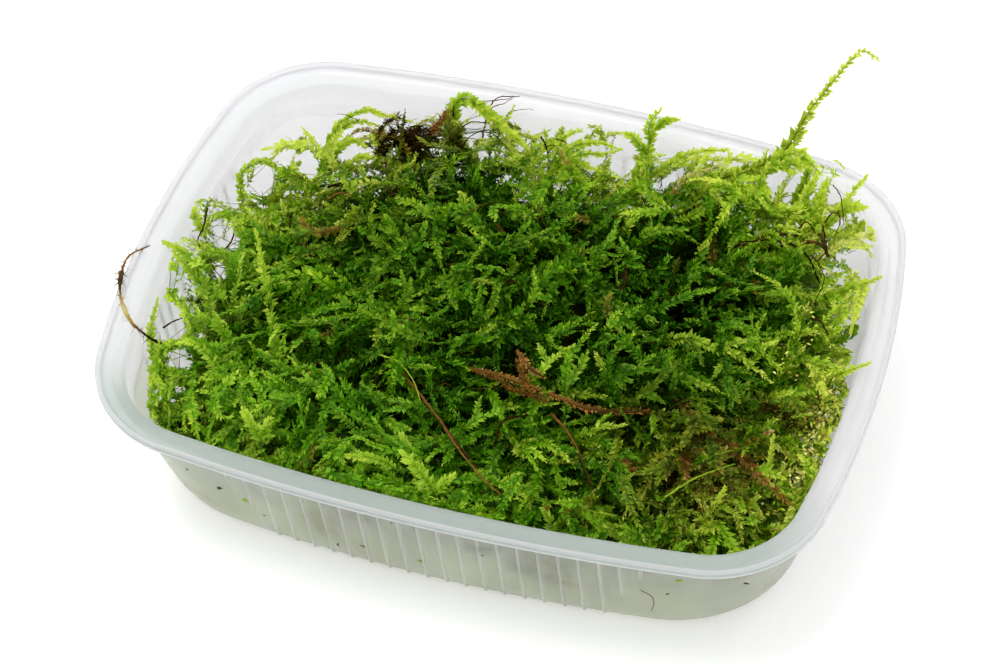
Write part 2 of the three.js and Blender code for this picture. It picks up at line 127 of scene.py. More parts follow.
# Hollows, where the moss's dark inside shows, and knolls, as in the solids: x, y, radius
HOLLOWS = [
    (36.0, -10.5, 4.0), (35.9, 8.1, 4.0), (-16.7, -18.8, 3.5), (24.2, 17.9, 3.5), (-33.5, -15.0, 4.0),
    (-2.8, -17.6, 3.5), (-12.7, 19.2, 3.5), (8.1, 15.9, 3.5), (18.8, 6.5, 5.5), (4.8, -6.9, 3.5),
    (30.0, -24.4, 4.5), (-20.8, -3.6, 3.0),
]
KNOLLS = [
    (-40.0, -21.0, 4.0), (-41.0, -4.0, 3.0), (-2.8, -31.0, 3.5), (21.7, 27.4, 4.0), (42.5, -13.4, 3.0),
    (33.4, 1.6, 2.5), (40.1, 16.3, 3.5), (-25.5, -30.5, 3.5), (1.2, -1.4, 3.0), (12.5, -26.5, 3.0),
    (14.9, -9.4, 2.5), (-24.5, -7.5, 3.0), (-9.2, 6.0, 3.5),
]
HOLLOW_DEPTH = 2.6
KNOLL_HEIGHT = 1.5
RELIEF_FADE = 0.25
RELIEF_LEAST = 0.3
# Windows between loose shoots at the edges, through which the tub's wall shows: x, y, radius
WINDOWS = [
    (-16.5, 35.0, 1.4), (-14.7, 32.0, 1.1), (0.7, 34.4, 1.0),
    (3.5, 31.9, 1.6), (8.0, 32.5, 1.6), (13.0, 36.5, 1.1), (31.1, 34.7, 1.4), (35.2, 34.0, 2.2),
    (39.9, 34.1, 1.0), (-36.0, 18.6, 0.9), (-41.9, 14.2, 1.4), (-44.3, 9.2, 0.7), (-46.5, 4.8, 0.7),
    (-43.2, 1.7, 1.5), (-46.7, -3.1, 0.8), (-42.1, -4.5, 0.9), (-47.7, -8.7, 0.8), (-44.5, -7.6, 0.8),
    (-46.4, -15.1, 1.2), (-44.1, -16.5, 0.8), (-41.4, -22.0, 0.8), (42.8, 30.5, 0.8), (40.4, 28.9, 0.7),
    (47.2, 20.7, 0.9), (39.8, 15.6, 0.7), (42.8, 4.9, 0.5), (47.6, -1.2, 0.8), (47.9, -6.4, 0.7),
    (46.9, -18.6, 0.8), (46.4, -11.9, 0.5),
]
WINDOW_HEIGHT = 22.0
WINDOW_MARGIN = 0.7
WINDOW_WOBBLE = 0.45
# The direction from the moss to the camera
SIGHT = np.array([
    math.sin(math.radians(CAMERA_AZIMUTH)) * math.cos(math.radians(CAMERA_ELEVATION)),
    -math.cos(math.radians(CAMERA_AZIMUTH)) * math.cos(math.radians(CAMERA_ELEVATION)),
    math.sin(math.radians(CAMERA_ELEVATION)),
])
HUMMOCK_HEIGHT = 0.4
HUMMOCK_WAVES = [
    (0.24, 0.55, 0.3), (-0.16, 0.72, 1.9), (0.38, 0.31, 4.0), (0.05, 0.9, 2.4), (-0.42, 0.5, 5.1),
]

# Leaves of a moss shoot
LEAF_STEP = 0.34
LEAF_LENGTH = 0.92
LEAF_WIDTH_SHARE = 0.48
LEAF_ANGLES = (60.0, 24.0)
STEM_RADIUS = 0.1
STEM_STRIDE = 7

# The tangle: how many shoots, leaf pairs on each, and how they wander
MAIN_SHOOTS = 2150
MAIN_PAIRS = 44
BRANCH_PAIRS = 14
BRANCH_PLACES = (0.32, 0.62)
BRANCH_ANGLE = 42.0
WANDER = 0.08
TANGLE_DEPTH = 8.0
# Painted shade: tone taken off per millimetre below the canopy, and the share of it spared at the front
SHADE_PER_DEPTH = 0.078
LIT_FRONT = 0.3
# Painted light and shade: tone added per millimetre of relief, paler on knolls and darker in hollows
LIGHT_AND_SHADE_PER_RELIEF = 0.075
CANOPY_CELL = 1.0
CORE_GAP = 0.9
CORE_DEPTH = 5.2
# Heights of the core's side, and how far each is set in where the shoots stand apart
CORE_SIDE = [(FLOOR + 0.4, 0.0), (BASE_FILLET, 0.0), (6.0, 0.0), (10.0, 1.0), (14.0, 4.0), (15.5, 7.0)]
HAIRS = 260

# Shoots that stand out from the clump, as in the solids: name, route from root to tip, half width
SHOOTS = [
    ("long_shoot", [(14, 27, 20), (20.5, 29.5, 23.5), (26, 31, 25.5), (31, 35.5, 27), (34, 40, 32.5),
                    (37, 43.2, 37), (39.2, 46.5, 39), (41.1, 47.5, 37.6)], 1.25),
    ("long_shoot_branch", [(33.5, 31.5, 20), (35, 34, 24), (34.5, 36.5, 26)], 1.1),
    ("back_arch_shoot", [(-17, 28, 19.5), (-18.2, 32.2, 24.4), (-17.1, 33.9, 26.4), (-14.2, 33, 26.2),
                         (-11, 31.5, 25.4), (-7.8, 30.2, 24.2), (-5.4, 29.3, 22.8)], 1.4),
    ("back_left_arch_shoot", [(-36, 21, 17.5), (-34.5, 25.1, 23), (-32.7, 27.2, 24.6), (-30.5, 28.9, 25),
                              (-27.9, 29, 24.6), (-24, 29.4, 24)], 0.85),
    ("left_arch_shoot", [(-43.5, 10, 17), (-45.5, 14.5, 21), (-42.5, 17, 22.5), (-38, 16.5, 19)], 0.95),
    ("back_curled_shoot", [(10, 28, 20), (11.5, 32.5, 24), (12, 35.5, 26.5), (14.5, 37, 27.5)], 1.1),
    ("back_pale_shoot", [(9, 24, 21), (14, 29.5, 24), (18, 33, 25.5), (22.5, 34.5, 26)], 1.1),
    ("back_fork_shoot", [(-1.6, 26.4, 21.2), (0.8, 29.7, 25), (4.5, 31.2, 25.6), (7.1, 31.5, 25)], 0.9),
    ("right_corner_shoot", [(37, 22, 19.5), (40.5, 27, 24), (42.5, 30, 27), (44, 32, 29)], 1.0),
    ("right_pale_shoot", [(36, 24, 19.5), (37.5, 29, 24), (38.5, 31.5, 27)], 1.3),
    ("right_wall_shoot", [(42, 16, 19), (46, 16.5, 22.5), (49.5, 17, 25.2)], 1.0),
    ("right_low_shoot", [(44, -2, 18.5), (47.5, 0, 22.5), (51.5, 1, 25.4)], 0.95),
    ("left_tall_shoot", [(-26, -21, 21.5), (-28.5, -16.5, 24.5), (-33, -8, 25.5), (-37.5, 0.5, 26)], 1.2),
    ("left_edge_shoot", [(-44, -23, 16.5), (-47, -18, 20.5), (-48, -12.5, 22)], 1.0),
    ("left_tip_shoot", [(-39.5, -10.5, 20), (-44, -7.5, 22.5), (-48, -5, 24)], 1.2),
    ("front_left_shoot", [(-22, -30, 18.5), (-26, -29.5, 22), (-29.5, -28, 24.5)], 1.2),
    ("front_middle_shoot", [(-1, -31.5, 19), (-3.5, -30.5, 22.5), (-6, -28.5, 25)], 1.2),
    ("front_right_shoot", [(34.5, -29, 17.5), (36.5, -27.5, 21.5), (38, -25, 24.5)], 1.2),
    ("front_pale_shoot", [(41.5, -22.5, 17.5), (42.5, -19, 22), (42, -14, 24)], 0.95),
]

# Dead stems and root threads, as in the solids: name, route, radius
STEMS = [
    ("brown_centre_stem", [(-1.5, -13, 23), (5, -15, 25.2), (11, -16, 25.2), (18, -16.5, 24.6),
                           (26, -14, 23.8), (34, -12, 21.5)], 0.3),
    ("brown_side_twig", [(5, -11, 26.5), (8, -13.6, 26.4), (10, -14.4, 26.4)], 0.25),
    ("brown_diagonal_stem", [(-9.5, -17, 23.5), (-4, -22.5, 25), (3, -28, 23.6), (10, -31.5, 20.5)], 0.22),
    ("brown_front_stem", [(12, -18, 23.5), (16, -22, 24.4), (20, -27, 22.8), (22, -29.5, 20)], 0.22),
    ("dark_corner_stem", [(28, 20, 22), (33, 20.5, 24.5), (38, 20, 24), (41, 18, 20.5)], 0.22),
    ("rim_root_thread", [(-43.5, -19, 20), (-46.5, -20.5, 24), (-49.5, -19, 25.2), (-52.3, -15, 25.2),
                         (-53.5, -11, 25.4), (-53.5, -8, 25.2), (-51.5, -5.5, 25)], 0.22),
    ("back_root_thread", [(-13.5, 30, 20.5), (-13, 35.5, 25.2), (-9.5, 37.5, 25.4)], 0.14),
]


# Changes over a length and over the plan

def rise(value, start, width):
    """0 up to the start, then growing to 1 over the width."""
    return np.clip((value - start) / width, 0, 1)


def patch(x, y, spot):
    """1 in the middle of a spot and fading around it; a spot is x, y and its reach along each."""
    middle_x, middle_y, reach_x, reach_y = spot
    return np.exp(-(((x - middle_x) / reach_x) ** 2 + ((y - middle_y) / reach_y) ** 2))


# Tub outline

def inset(plan, distance):
    return {key: value - distance for key, value in plan.items()}


def blend_plans(low, high, share):
    return {key: low[key] + (high[key] - low[key]) * share for key in low}


def wall_plan(z):
    return blend_plans(BASE, inset(RIM, FLANGE_WIDTH), z / LEDGE_HEIGHT)


def rib_row(count):
    """Places along a side from its middle outward, how proud each stands, and how low its rib goes."""
    rows = [(0.0, 0.0, RIB_FEET[0])]
    for rib in range(count // 2):
        from_last = count // 2 - 1 - rib
        foot = RIB_FEET[max(0, len(RIB_FEET) - 1 - from_last)]
        rows += [((rib + 0.5) * RIB_PITCH + offset, crest, foot) for offset, crest in RIB_SECTION]
    return np.array(rows).T


def outline(plan):
    """A plan's points, counterclockwise from the middle of the right end: x, y, rib crest, rib foot."""
    end_x = plan["length"] - plan["end"]
    side_y = plan["width"] - plan["side"]
    apart = math.hypot(end_x, side_y)
    from_side = plan["side"] - plan["corner"]
    from_end = plan["end"] - plan["corner"]
    along = (from_side ** 2 - from_end ** 2 + apart ** 2) / (2 * apart)
    across = math.sqrt(from_side ** 2 - along ** 2)
    corner = plan["corner"]
    corner_x = (along * end_x - across * side_y) / apart
    corner_y = side_y + (-along * side_y - across * end_x) / apart
    first = math.atan2(corner_y, corner_x - end_x)
    last = math.atan2(corner_y - side_y, corner_x)

    y, end_crest, end_foot = rib_row(SHORT_SIDE_RIBS)
    turn = np.arcsin(y / plan["end"])
    bent = np.arcsin(np.clip((y - corner_y) / corner, -1, 1))
    x = np.where(turn <= first, end_x + plan["end"] * np.cos(turn), corner_x + corner * np.cos(bent))
    ends = np.stack([x, y, end_crest, end_foot])

    x, side_crest, side_foot = rib_row(LONG_SIDE_RIBS)
    turn = np.arccos(x / plan["side"])
    bent = np.arccos(np.clip((x - corner_x) / corner, -1, 1))
    y = np.where(turn >= last, side_y + plan["side"] * np.sin(turn), corner_y + corner * np.sin(bent))
    sides = np.stack([x, y, side_crest, side_foot])[:, ::-1]

    start = max(first, math.atan2(ends[1, -1] - corner_y, ends[0, -1] - corner_x))
    stop = min(last, math.atan2(sides[1, 0] - corner_y, sides[0, 0] - corner_x))
    turn = np.linspace(start, stop, CORNER_POINTS + 2)[1:-1]
    plain = np.zeros(CORNER_POINTS)
    corners = np.stack([corner_x + corner * np.cos(turn), corner_y + corner * np.sin(turn), plain, plain])

    quarter = np.concatenate([ends, corners, sides], axis=1).T
    mirrored = quarter[-2:0:-1] * (-1, 1, 1, 1)
    half = np.concatenate([quarter, mirrored])
    return np.concatenate([half, half * (-1, -1, 1, 1)])


def outward(points):
    edge = np.roll(points, -1, axis=0) - np.roll(points, 1, axis=0)
    normal = np.stack([edge[:, 1], -edge[:, 0]], axis=1)
    return normal / np.linalg.norm(normal, axis=1, keepdims=True)


def ring(plan, z, proud=0.0, milk=0.0):
    """One ring of the tub: points, and how milky the plastic is at each."""
    x, y, crest, foot = outline(plan).T
    plan_points = np.stack([x, y], axis=1)
    crest = crest * np.clip(z - foot + 1, 0, 1)
    plan_points = plan_points + outward(plan_points) * (crest * proud)[:, None]
    milkiness = np.maximum(crest * (proud > 0), milk)
    return np.column_stack([plan_points, np.full(len(x), z), milkiness])


# Meshes

def add_mesh(name, points, faces, material, marks=None, smooth=True):
    """A mesh object in metres from points in millimetres."""
    mesh = bpy.data.meshes.new(name)
    faces = np.asarray(faces, np.int32)
    corners = faces.shape[1]
    mesh.vertices.add(len(points))
    mesh.vertices.foreach_set("co", np.asarray(points, np.float32).ravel() * MM)
    mesh.loops.add(faces.size)
    mesh.loops.foreach_set("vertex_index", faces.ravel())
    mesh.polygons.add(len(faces))
    mesh.polygons.foreach_set("loop_start", np.arange(0, faces.size, corners, dtype=np.int32))
    mesh.polygons.foreach_set("use_smooth", np.full(len(faces), smooth))
    mesh.update(calc_edges=True)
    if marks is not None:
        layer = mesh.attributes.new("marks", "FLOAT_VECTOR", "POINT")
        layer.data.foreach_set("vector", np.asarray(marks, np.float32).ravel())
    mesh.validate()
    mesh.materials.append(material)
    made = bpy.data.objects.new(name, mesh)
    bpy.context.scene.collection.objects.link(made)
    return made


def place_piece(piece, node):
    """Hides the solid that a piece stands for and sets the piece on the root body."""
    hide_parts(node)
    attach(piece, "root")


def ring_faces(rings, count):
    """Quads between rings that follow each other."""
    row = np.arange(count)
    after = (row + 1) % count
    quad = np.stack([row, after, after + count, row + count], axis=1)
    return np.concatenate([quad + count * i for i in range(rings - 1)])


# Tub

def fillet_rings(bottom, radius, wall_inset, proud):
    rings = []
    for share in np.linspace(0, 1, FILLET_STEPS + 1):
        angle = math.pi / 2 * (1 - share)
        z = bottom + radius * (1 - math.sin(angle))
        plan = inset(wall_plan(z), wall_inset + radius * (1 - math.cos(angle)))
        rings.append(ring(plan, z, proud * share))
    return rings


def wall_rings(wall_inset, proud):
    heights = np.linspace(BASE_FILLET + 1, LEDGE_HEIGHT - 1, WALL_STEPS)
    rings = [ring(inset(wall_plan(z), wall_inset), z, proud) for z in heights]
    return rings + [ring(inset(wall_plan(LEDGE_HEIGHT), wall_inset), LEDGE_HEIGHT, 0.0, LEDGE_MILK)]


def section_rings(section):
    return [ring(inset(RIM, distance), z, 0.0, milk) for distance, z, milk in section]


def outside_rings():
    """The neck above the ledge, the underside of the flange, the skirt and its outer edge."""
    neck = FLANGE_WIDTH - WALL
    under = TUB_HEIGHT - INNER_EDGE_DROP - WALL
    foot = TUB_HEIGHT - SKIRT_DROP
    return section_rings([
        (neck, LEDGE_HEIGHT + LEDGE_RISE, LEDGE_MILK),
        (neck, under - WALL / 4, 0),
        (neck - WALL / 4, under, 0),
        (FLANGE_FLAT[1], TUB_HEIGHT - WALL, 0),
        (WALL, TUB_HEIGHT - WALL, 0),
        *[(WALL * inward, foot + EDGE_ROUND * up, EDGE_MILK) for inward, up in LOWER_EDGE],
        (0, foot + EDGE_ROUND * LOWER_EDGE_END, 0),
        *[(EDGE_ROUND * inward, TUB_HEIGHT - EDGE_ROUND * down, milk) for inward, down, milk in OUTER_EDGE],
        (FLANGE_FLAT[0], TUB_HEIGHT, FLANGE_MILK),
    ])


def inside_rings():
    """The flange's slope down to its inner edge, the neck and the ledge."""
    flat = FLANGE_FLAT[1]
    slope = FLANGE_WIDTH - flat
    ledge = LEDGE_HEIGHT + LEDGE_RISE
    drop = INNER_EDGE_DROP
    return section_rings([
        (flat, TUB_HEIGHT, FLANGE_MILK),
        *[(flat + slope * inward, TUB_HEIGHT - drop * down, FLANGE_MILK) for inward, down in FLANGE_SLOPE],
        (FLANGE_WIDTH, TUB_HEIGHT - drop * INNER_EDGE_END, EDGE_MILK / 2),
        (FLANGE_WIDTH, ledge + WALL, 0),
        (FLANGE_WIDTH + WALL / 4, ledge + WALL / 2, LEDGE_MILK),
    ])


def tub_marks(points, milk):
    """How milky the plastic is, how much smudging and painted shade darken the near wall, and how much
    painted shade darkens the rim.
    """
    x, y, z = points.T
    film_and_shade = rise(-y, *FILM_AND_PAINTED_SHADE) * (z < LEDGE_HEIGHT) * (1 - milk)
    rim_painted_shade = np.maximum(rise(-y, *PAINTED_RIM_SHADE), LEFT_PAINTED_RIM_SHADE * rise(-x, *PAINTED_RIM_SHADE))
    at_rim = z > TUB_HEIGHT - SKIRT_DROP - WALL
    # The bright edges lose this share of the rim's painted shade
    glow = EDGE_SHADE_LOSS * (milk >= EDGE_MILK)
    return np.column_stack([milk, film_and_shade, rim_painted_shade * at_rim * (1 - glow)])


def make_tub():
    rings = [
        *fillet_rings(0, BASE_FILLET, 0, RIB_PROUD),
        *wall_rings(0, RIB_PROUD),
        *outside_rings(),
        *inside_rings(),
        *wall_rings(WALL, 0.0)[::-1],
        *fillet_rings(FLOOR, BASE_FILLET - WALL, WALL, 0.0)[::-1],
    ]
    count = len(rings[0])
    all_points = np.concatenate(rings + [[[0, 0, 0, 0]], [[0, 0, FLOOR, 0]]])
    points, milk = all_points[:, :3], all_points[:, 3]
    last = (len(rings) - 1) * count
    row = np.arange(0, count, 2)
    under = np.full(len(row), len(points) - 2)
    base = np.stack([under, (row + 2) % count, row + 1, row], axis=1)
    floor = np.stack([under + 1, last + row, last + row + 1, last + (row + 2) % count], axis=1)
    faces = np.concatenate([ring_faces(len(rings), count), base, floor])
    tub = add_mesh("tub_shell", points, faces, plastic_material(), tub_marks(points, milk))
    place_piece(tub, "tub")


# Bits of moss and dirt stuck to the near wall: place along it, height, length, thickness, slant, tone, age
FLECKS = [
    (-31.4, 11.3, 1.1, 0.2, 20, 0.3, 1), (-14.4, 4.8, 0.9, 0.14, 65, 0.28, 1),
    (-10.4, 6.5, 1.2, 0.12, -8, 0.25, 1), (32.9, 10.9, 0.7, 0.12, 40, 0.35, 1),
    (43.6, 17.4, 0.8, 0.14, 10, 0.3, 1), (-27.7, 10.0, 0.9, 0.26, 80, 0.66, 0.1),
    (-1.9, 6.5, 1.2, 0.2, -12, 0.6, 0.5), (34.6, 15.6, 0.9, 0.24, 30, 0.66, 0.1),
    (-25.3, 7.0, 0.4, 0.1, 0, 0.35, 1), (18.5, 9.2, 0.5, 0.1, 50, 0.35, 0.8),
    (7.5, 12.8, 0.7, 0.12, 15, 0.5, 0.4), (-36.0, 13.8, 0.5, 0.1, -30, 0.35, 1),
]
# A fleck's thickness along its length, and how uneven it is
FLECK_SHAPE = [0.3, 0.8, 1, 0.9, 0.7, 0.25]
FLECK_UNEVEN = 0.2
# The hair on the wall: places along it and heights
WALL_HAIR = [(29.2, 10.9), (30.6, 9.6), (30.9, 7.2), (30.4, 4.6)]
WALL_HAIR_RADIUS = 0.07
WALL_HAIR_STEP = 0.4
WALL_HAIR_TONE = 0.4


def on_near_wall(x, z):
    """The point on the outside of the near wall at a place along it and a height."""
    plan = wall_plan(z)
    return x, -(plan["width"] - plan["side"] + math.sqrt(plan["side"] ** 2 - x ** 2)), z


def make_flecks():
    rng = np.random.default_rng(SEEDS["flecks"])
    face = np.array([[0.0, -1.0, 0.0]])
    count = len(FLECK_SHAPE)
    parts = []
    for x, z, long, thick, slant, tone, age in FLECKS:
        reach = long / 2 * np.array([math.cos(math.radians(slant)), math.sin(math.radians(slant))])
        route = [on_near_wall(x + reach[0] * share, z + reach[1] * share) for share in (-1, 0, 1)]
        path = smooth_route(route, long / (count - 1))[None]
        path = path + rng.normal(0, thick / 4, (1, count, 3)) * (1, FLECK_UNEVEN, 1)
        radii = thick * np.array([FLECK_SHAPE]) * rng.normal(1, FLECK_UNEVEN, (1, count))
        parts.append(tubes(path, radii, face, np.full((1, count), tone), np.full(1, age), sides=6))
    path = smooth_route([on_near_wall(*place) for place in WALL_HAIR], WALL_HAIR_STEP)[None]
    size = path.shape[:2]
    radii = np.full(size, WALL_HAIR_RADIUS)
    parts.append(tubes(path, radii, face, np.full(size, WALL_HAIR_TONE), np.ones(1)))
    points, faces, marks = join(parts)
    flecks = add_mesh("wall_flecks", points, faces, leaf_material("fleck", through=0.0), marks)
    place_piece(flecks, "tub")


# Node materials

def new_material(name):
    material = bpy.data.materials.new(name)
    material.use_nodes = True
    nodes = material.node_tree.nodes
    nodes.clear()
    return material, nodes, material.node_tree.links


def add_node(nodes, kind, **values):
    """A shader node with values on its own sockets or, where it has no such socket, as its settings."""
    node = nodes.new("ShaderNode" + kind)
    for key, value in values.items():
        if key in node.inputs:
            node.inputs[key].default_value = value
        else:
            setattr(node, key, value)
    return node


def ranged(nodes, low, high):
    """A node that turns 0 to 1 into low to high."""
    node = add_node(nodes, "MapRange")
    node.inputs["To Min"].default_value = low
    node.inputs["To Max"].default_value = high
    return node


def wire(links, rows):
    """Links nodes; each row is a node, its output, the next node and its input."""
    for source, output, target, socket in rows:
        links.new(source.outputs[output], target.inputs[socket])


def add_ramp(nodes, stops):
    ramp = add_node(nodes, "ValToRGB")
    elements = ramp.color_ramp.elements
    while len(elements) < len(stops):
        elements.new(0.5)
    for element, (place, colour) in zip(elements, stops):
        element.position = place
        element.color = (*colour, 1)
    return ramp


# The plastic: share of white scatter in the wall and in its ribs and edges, its colours and its finish
MILK = (0.42, 0.8)
MILK_IN_FRONT = 0.26
MILK_COLOUR = (0.91, 0.9, 0.925, 1)
# The near wall's smudge colours: partly dirt, partly painted shade for the dark moss behind it
SMUDGE_AND_SHADE_STOPS = [
    (0.3, (0.60, 0.62, 0.42)),
    (0.44, (0.80, 0.82, 0.68)),
    (0.56, (0.84, 0.87, 0.74)),
    (0.7, (0.92, 0.93, 0.86)),
]
TINT_STOPS = [(0.3, (0.945, 0.95, 0.955)), (0.7, (0.98, 0.98, 0.985))]
# The colour of the rim's painted shade
PAINTED_SHADE_COLOUR = (0.64, 0.70, 0.67, 1)
PLASTIC_ROUGHNESS = (0.16, 0.3)
REFRACTIVE_INDEX = 1.49
PLASTIC_CLEARNESS = 0.9


def plastic_material():
    """Milky polypropylene: part clear with a frosted face, part white scatter, with faint moulding haze."""
    material, nodes, links = new_material("milky_plastic")
    marks = add_node(nodes, "Attribute", attribute_name="marks")
    split = add_node(nodes, "SeparateXYZ")
    milkiness = ranged(nodes, *MILK)
    place = add_node(nodes, "TexCoord")
    haze = add_node(nodes, "TexNoise", Scale=90.0, Detail=4.0)
    fine = add_node(nodes, "TexNoise", Scale=900.0, Detail=2.0)
    tint = add_ramp(nodes, TINT_STOPS)
    rough = ranged(nodes, *PLASTIC_ROUGHNESS)
    bump = add_node(nodes, "Bump", Strength=0.08, Distance=0.0002)
    clear = add_node(nodes, "BsdfPrincipled", IOR=REFRACTIVE_INDEX)
    clear.inputs["Transmission Weight"].default_value = PLASTIC_CLEARNESS
    film_and_shade = add_node(nodes, "Mix", data_type="RGBA", A=MILK_COLOUR)
    smudges_and_shade = add_ramp(nodes, SMUDGE_AND_SHADE_STOPS)
    # Smudges and painted shade on the near wall, then the rim's painted shade, over the milk colour
    body = add_node(nodes, "Mix", data_type="RGBA", B=PAINTED_SHADE_COLOUR)
    # The rim's painted shade darkens the clear part's colour too
    see_through = add_node(nodes, "Mix", data_type="RGBA", B=PAINTED_SHADE_COLOUR)
    behind = add_node(nodes, "BsdfTranslucent")
    front = add_node(nodes, "BsdfDiffuse")
    milk = add_node(nodes, "MixShader", Fac=MILK_IN_FRONT)
    mix = add_node(nodes, "MixShader")
    out = add_node(nodes, "OutputMaterial")
    wire(links, [
        (marks, "Vector", split, 0),
        (split, "X", milkiness, "Value"),
        (milkiness, "Result", mix, "Fac"),
        (place, "Object", haze, "Vector"),
        (place, "Object", fine, "Vector"),
        (haze, "Fac", smudges_and_shade, "Fac"),
        (smudges_and_shade, "Color", film_and_shade, "B"),
        (split, "Y", film_and_shade, "Factor"),
        (split, "Z", body, "Factor"),
        (film_and_shade, "Result", body, "A"),
        (body, "Result", behind, "Color"),
        (body, "Result", front, "Color"),
        (split, "Z", see_through, "Factor"),
        (haze, "Fac", tint, "Fac"),
        (tint, "Color", see_through, "A"),
        (haze, "Fac", rough, "Value"),
        (fine, "Fac", bump, "Height"),
        (see_through, "Result", clear, "Base Color"),
        (rough, "Result", clear, "Roughness"),
        (bump, "Normal", clear, "Normal"),
        (clear, 0, mix, 1),
        (behind, 0, milk, 1),
        (front, 0, milk, 2),
        (milk, 0, mix, 2),
        (mix, 0, out, "Surface"),
    ])
    return material


# Leaf colours by tone, dark to pale: the tangle's green, the fresher green at the front, dying brown
GREEN_STOPS = [
    (0.0, (0.003, 0.009, 0.0003)),
    (0.22, (0.012, 0.064, 0.0005)),
    (0.45, (0.066, 0.240, 0.001)),
    (0.7, (0.240, 0.490, 0.004)),
    (1.0, (0.690, 0.820, 0.060)),
]
# Its darkest stops are raised as painted light in the deep gaps at the front
FRESH_AND_GAP_LIGHT_STOPS = [
    (0.0, (0.020, 0.050, 0.002)),
    (0.22, (0.026, 0.110, 0.002)),
    (0.45, (0.062, 0.250, 0.002)),
    (0.7, (0.190, 0.490, 0.006)),
    (1.0, (0.560, 0.800, 0.060)),
]
AGED_STOPS = [
    (0.0, (0.008, 0.004, 0.001)),
    (0.3, (0.045, 0.022, 0.004)),
    (0.55, (0.165, 0.066, 0.006)),
    (0.65, (0.330, 0.120, 0.014)),
    (0.78, (0.340, 0.230, 0.040)),
    (1.0, (0.740, 0.640, 0.280)),
]
MOTTLE = 0.24
LEAF_ROUGHNESS = (0.18, 0.5)
GLOSS_TONES = (0.2, 0.6)
GLINT_COLOUR = (1, 1, 0.4, 1)


def leaf_material(name, through, gloss=0.5):
    """Thin wet leaves that let a share of light through; marks hold tone, age and how fresh the green is."""
    material, nodes, links = new_material(name)
    marks = add_node(nodes, "Attribute", attribute_name="marks")
    split = add_node(nodes, "SeparateXYZ")
    place = add_node(nodes, "TexCoord")
    mottle = add_node(nodes, "TexNoise", Scale=700.0, Detail=3.0)
    shift = add_node(nodes, "Math", operation="MULTIPLY_ADD")
    shift.inputs[1].default_value = MOTTLE
    shift.inputs[2].default_value = -MOTTLE / 2
    tone = add_node(nodes, "Math", operation="ADD", use_clamp=True)
    green = add_ramp(nodes, GREEN_STOPS)
    fresh = add_ramp(nodes, FRESH_AND_GAP_LIGHT_STOPS)
    living = add_node(nodes, "Mix", data_type="RGBA")
    aged = add_ramp(nodes, AGED_STOPS)
    colour = add_node(nodes, "Mix", data_type="RGBA")
    rough = ranged(nodes, *LEAF_ROUGHNESS)
    bump = add_node(nodes, "Bump", Strength=0.25, Distance=0.0001)
    face = add_node(nodes, "BsdfPrincipled")
    face.inputs["Specular Tint"].default_value = GLINT_COLOUR
    shine = ranged(nodes, 0, gloss)
    shine.inputs["From Min"].default_value = GLOSS_TONES[0]
    shine.inputs["From Max"].default_value = GLOSS_TONES[1]
    thin = add_node(nodes, "BsdfTranslucent")
    mix = add_node(nodes, "MixShader", Fac=through)
    out = add_node(nodes, "OutputMaterial")
    wire(links, [
        (marks, "Vector", split, 0),
        (place, "Object", mottle, "Vector"),
        (mottle, "Fac", shift, 0),
        (split, "X", tone, 0),
        (shift, 0, tone, 1),
        (tone, 0, green, "Fac"),
        (tone, 0, fresh, "Fac"),
        (tone, 0, aged, "Fac"),
        (split, "X", shine, "Value"),
        (shine, "Result", face, "Specular IOR Level"),
        (split, "Z", living, "Factor"),
        (green, "Color", living, "A"),
        (fresh, "Color", living, "B"),
        (split, "Y", colour, "Factor"),
        (living, "Result", colour, "A"),
        (aged, "Color", colour, "B"),
        (mottle, "Fac", rough, "Value"),
        (mottle, "Fac", bump, "Height"),
        (colour, "Result", face, "Base Color"),
        (rough, "Result", face, "Roughness"),
        (bump, "Normal", face, "Normal"),
        (colour, "Result", thin, "Color"),
        (face, 0, mix, 1),
        (thin, 0, mix, 2),
        (mix, 0, out, "Surface"),
    ])
    return material


# Moss form

def polar_table(plan):
    points = outline(plan)[:, :2]
    angle = np.arctan2(points[:, 1], points[:, 0])
    order = np.argsort(angle)
    return angle[order], np.hypot(*points.T)[order]


# How far up the slope of the wall is followed, in ledge heights
REACH_LIMIT = 1.1
# Shoots may reach past the wall once they are this far above the rim: start, pace, most
OVER_RIM = (1.0, 2.0, 3.0)
# How much of the bare parts shoots keep out of, and how low a shoot may lie
BARE_HOLD = 0.8
LEAST_HEIGHT = FLOOR + 0.3
FLOOR_TABLE = polar_table(inset(BASE, WALL + MOSS_GAP))
LEDGE_TABLE = polar_table(inset(RIM, FLANGE_WIDTH + WALL + MOSS_GAP))


def wall_reach(x, y, z):
    """How far from the middle the inside of the wall is, in the direction of a point, at its height."""
    angle = np.arctan2(y, x)
    low = np.interp(angle, *FLOOR_TABLE, period=2 * math.pi)
    high = np.interp(angle, *LEDGE_TABLE, period=2 * math.pi)
    return low + (high - low) * np.clip(z / LEDGE_HEIGHT, 0, REACH_LIMIT)


def bare_share(x, y):
    """How far the moss keeps off the wall, as a share of its reach."""
    total = 0
    for angle, half_angle, depth in BARE_PARTS:
        turn = np.arctan2(y, x) - math.radians(angle)
        turn = np.abs((turn + math.pi) % (2 * math.pi) - math.pi)
        phase = np.minimum(turn / math.radians(half_angle), 1)
        total = total + depth * np.cos(math.pi / 2 * phase) ** 2
    return total


def moss_share(x, y):
    """0 in the middle of the moss and 1 at its edge."""
    reach = wall_reach(x, y, LEDGE_HEIGHT) * (1 - bare_share(x, y))
    return np.hypot(x, y) / reach


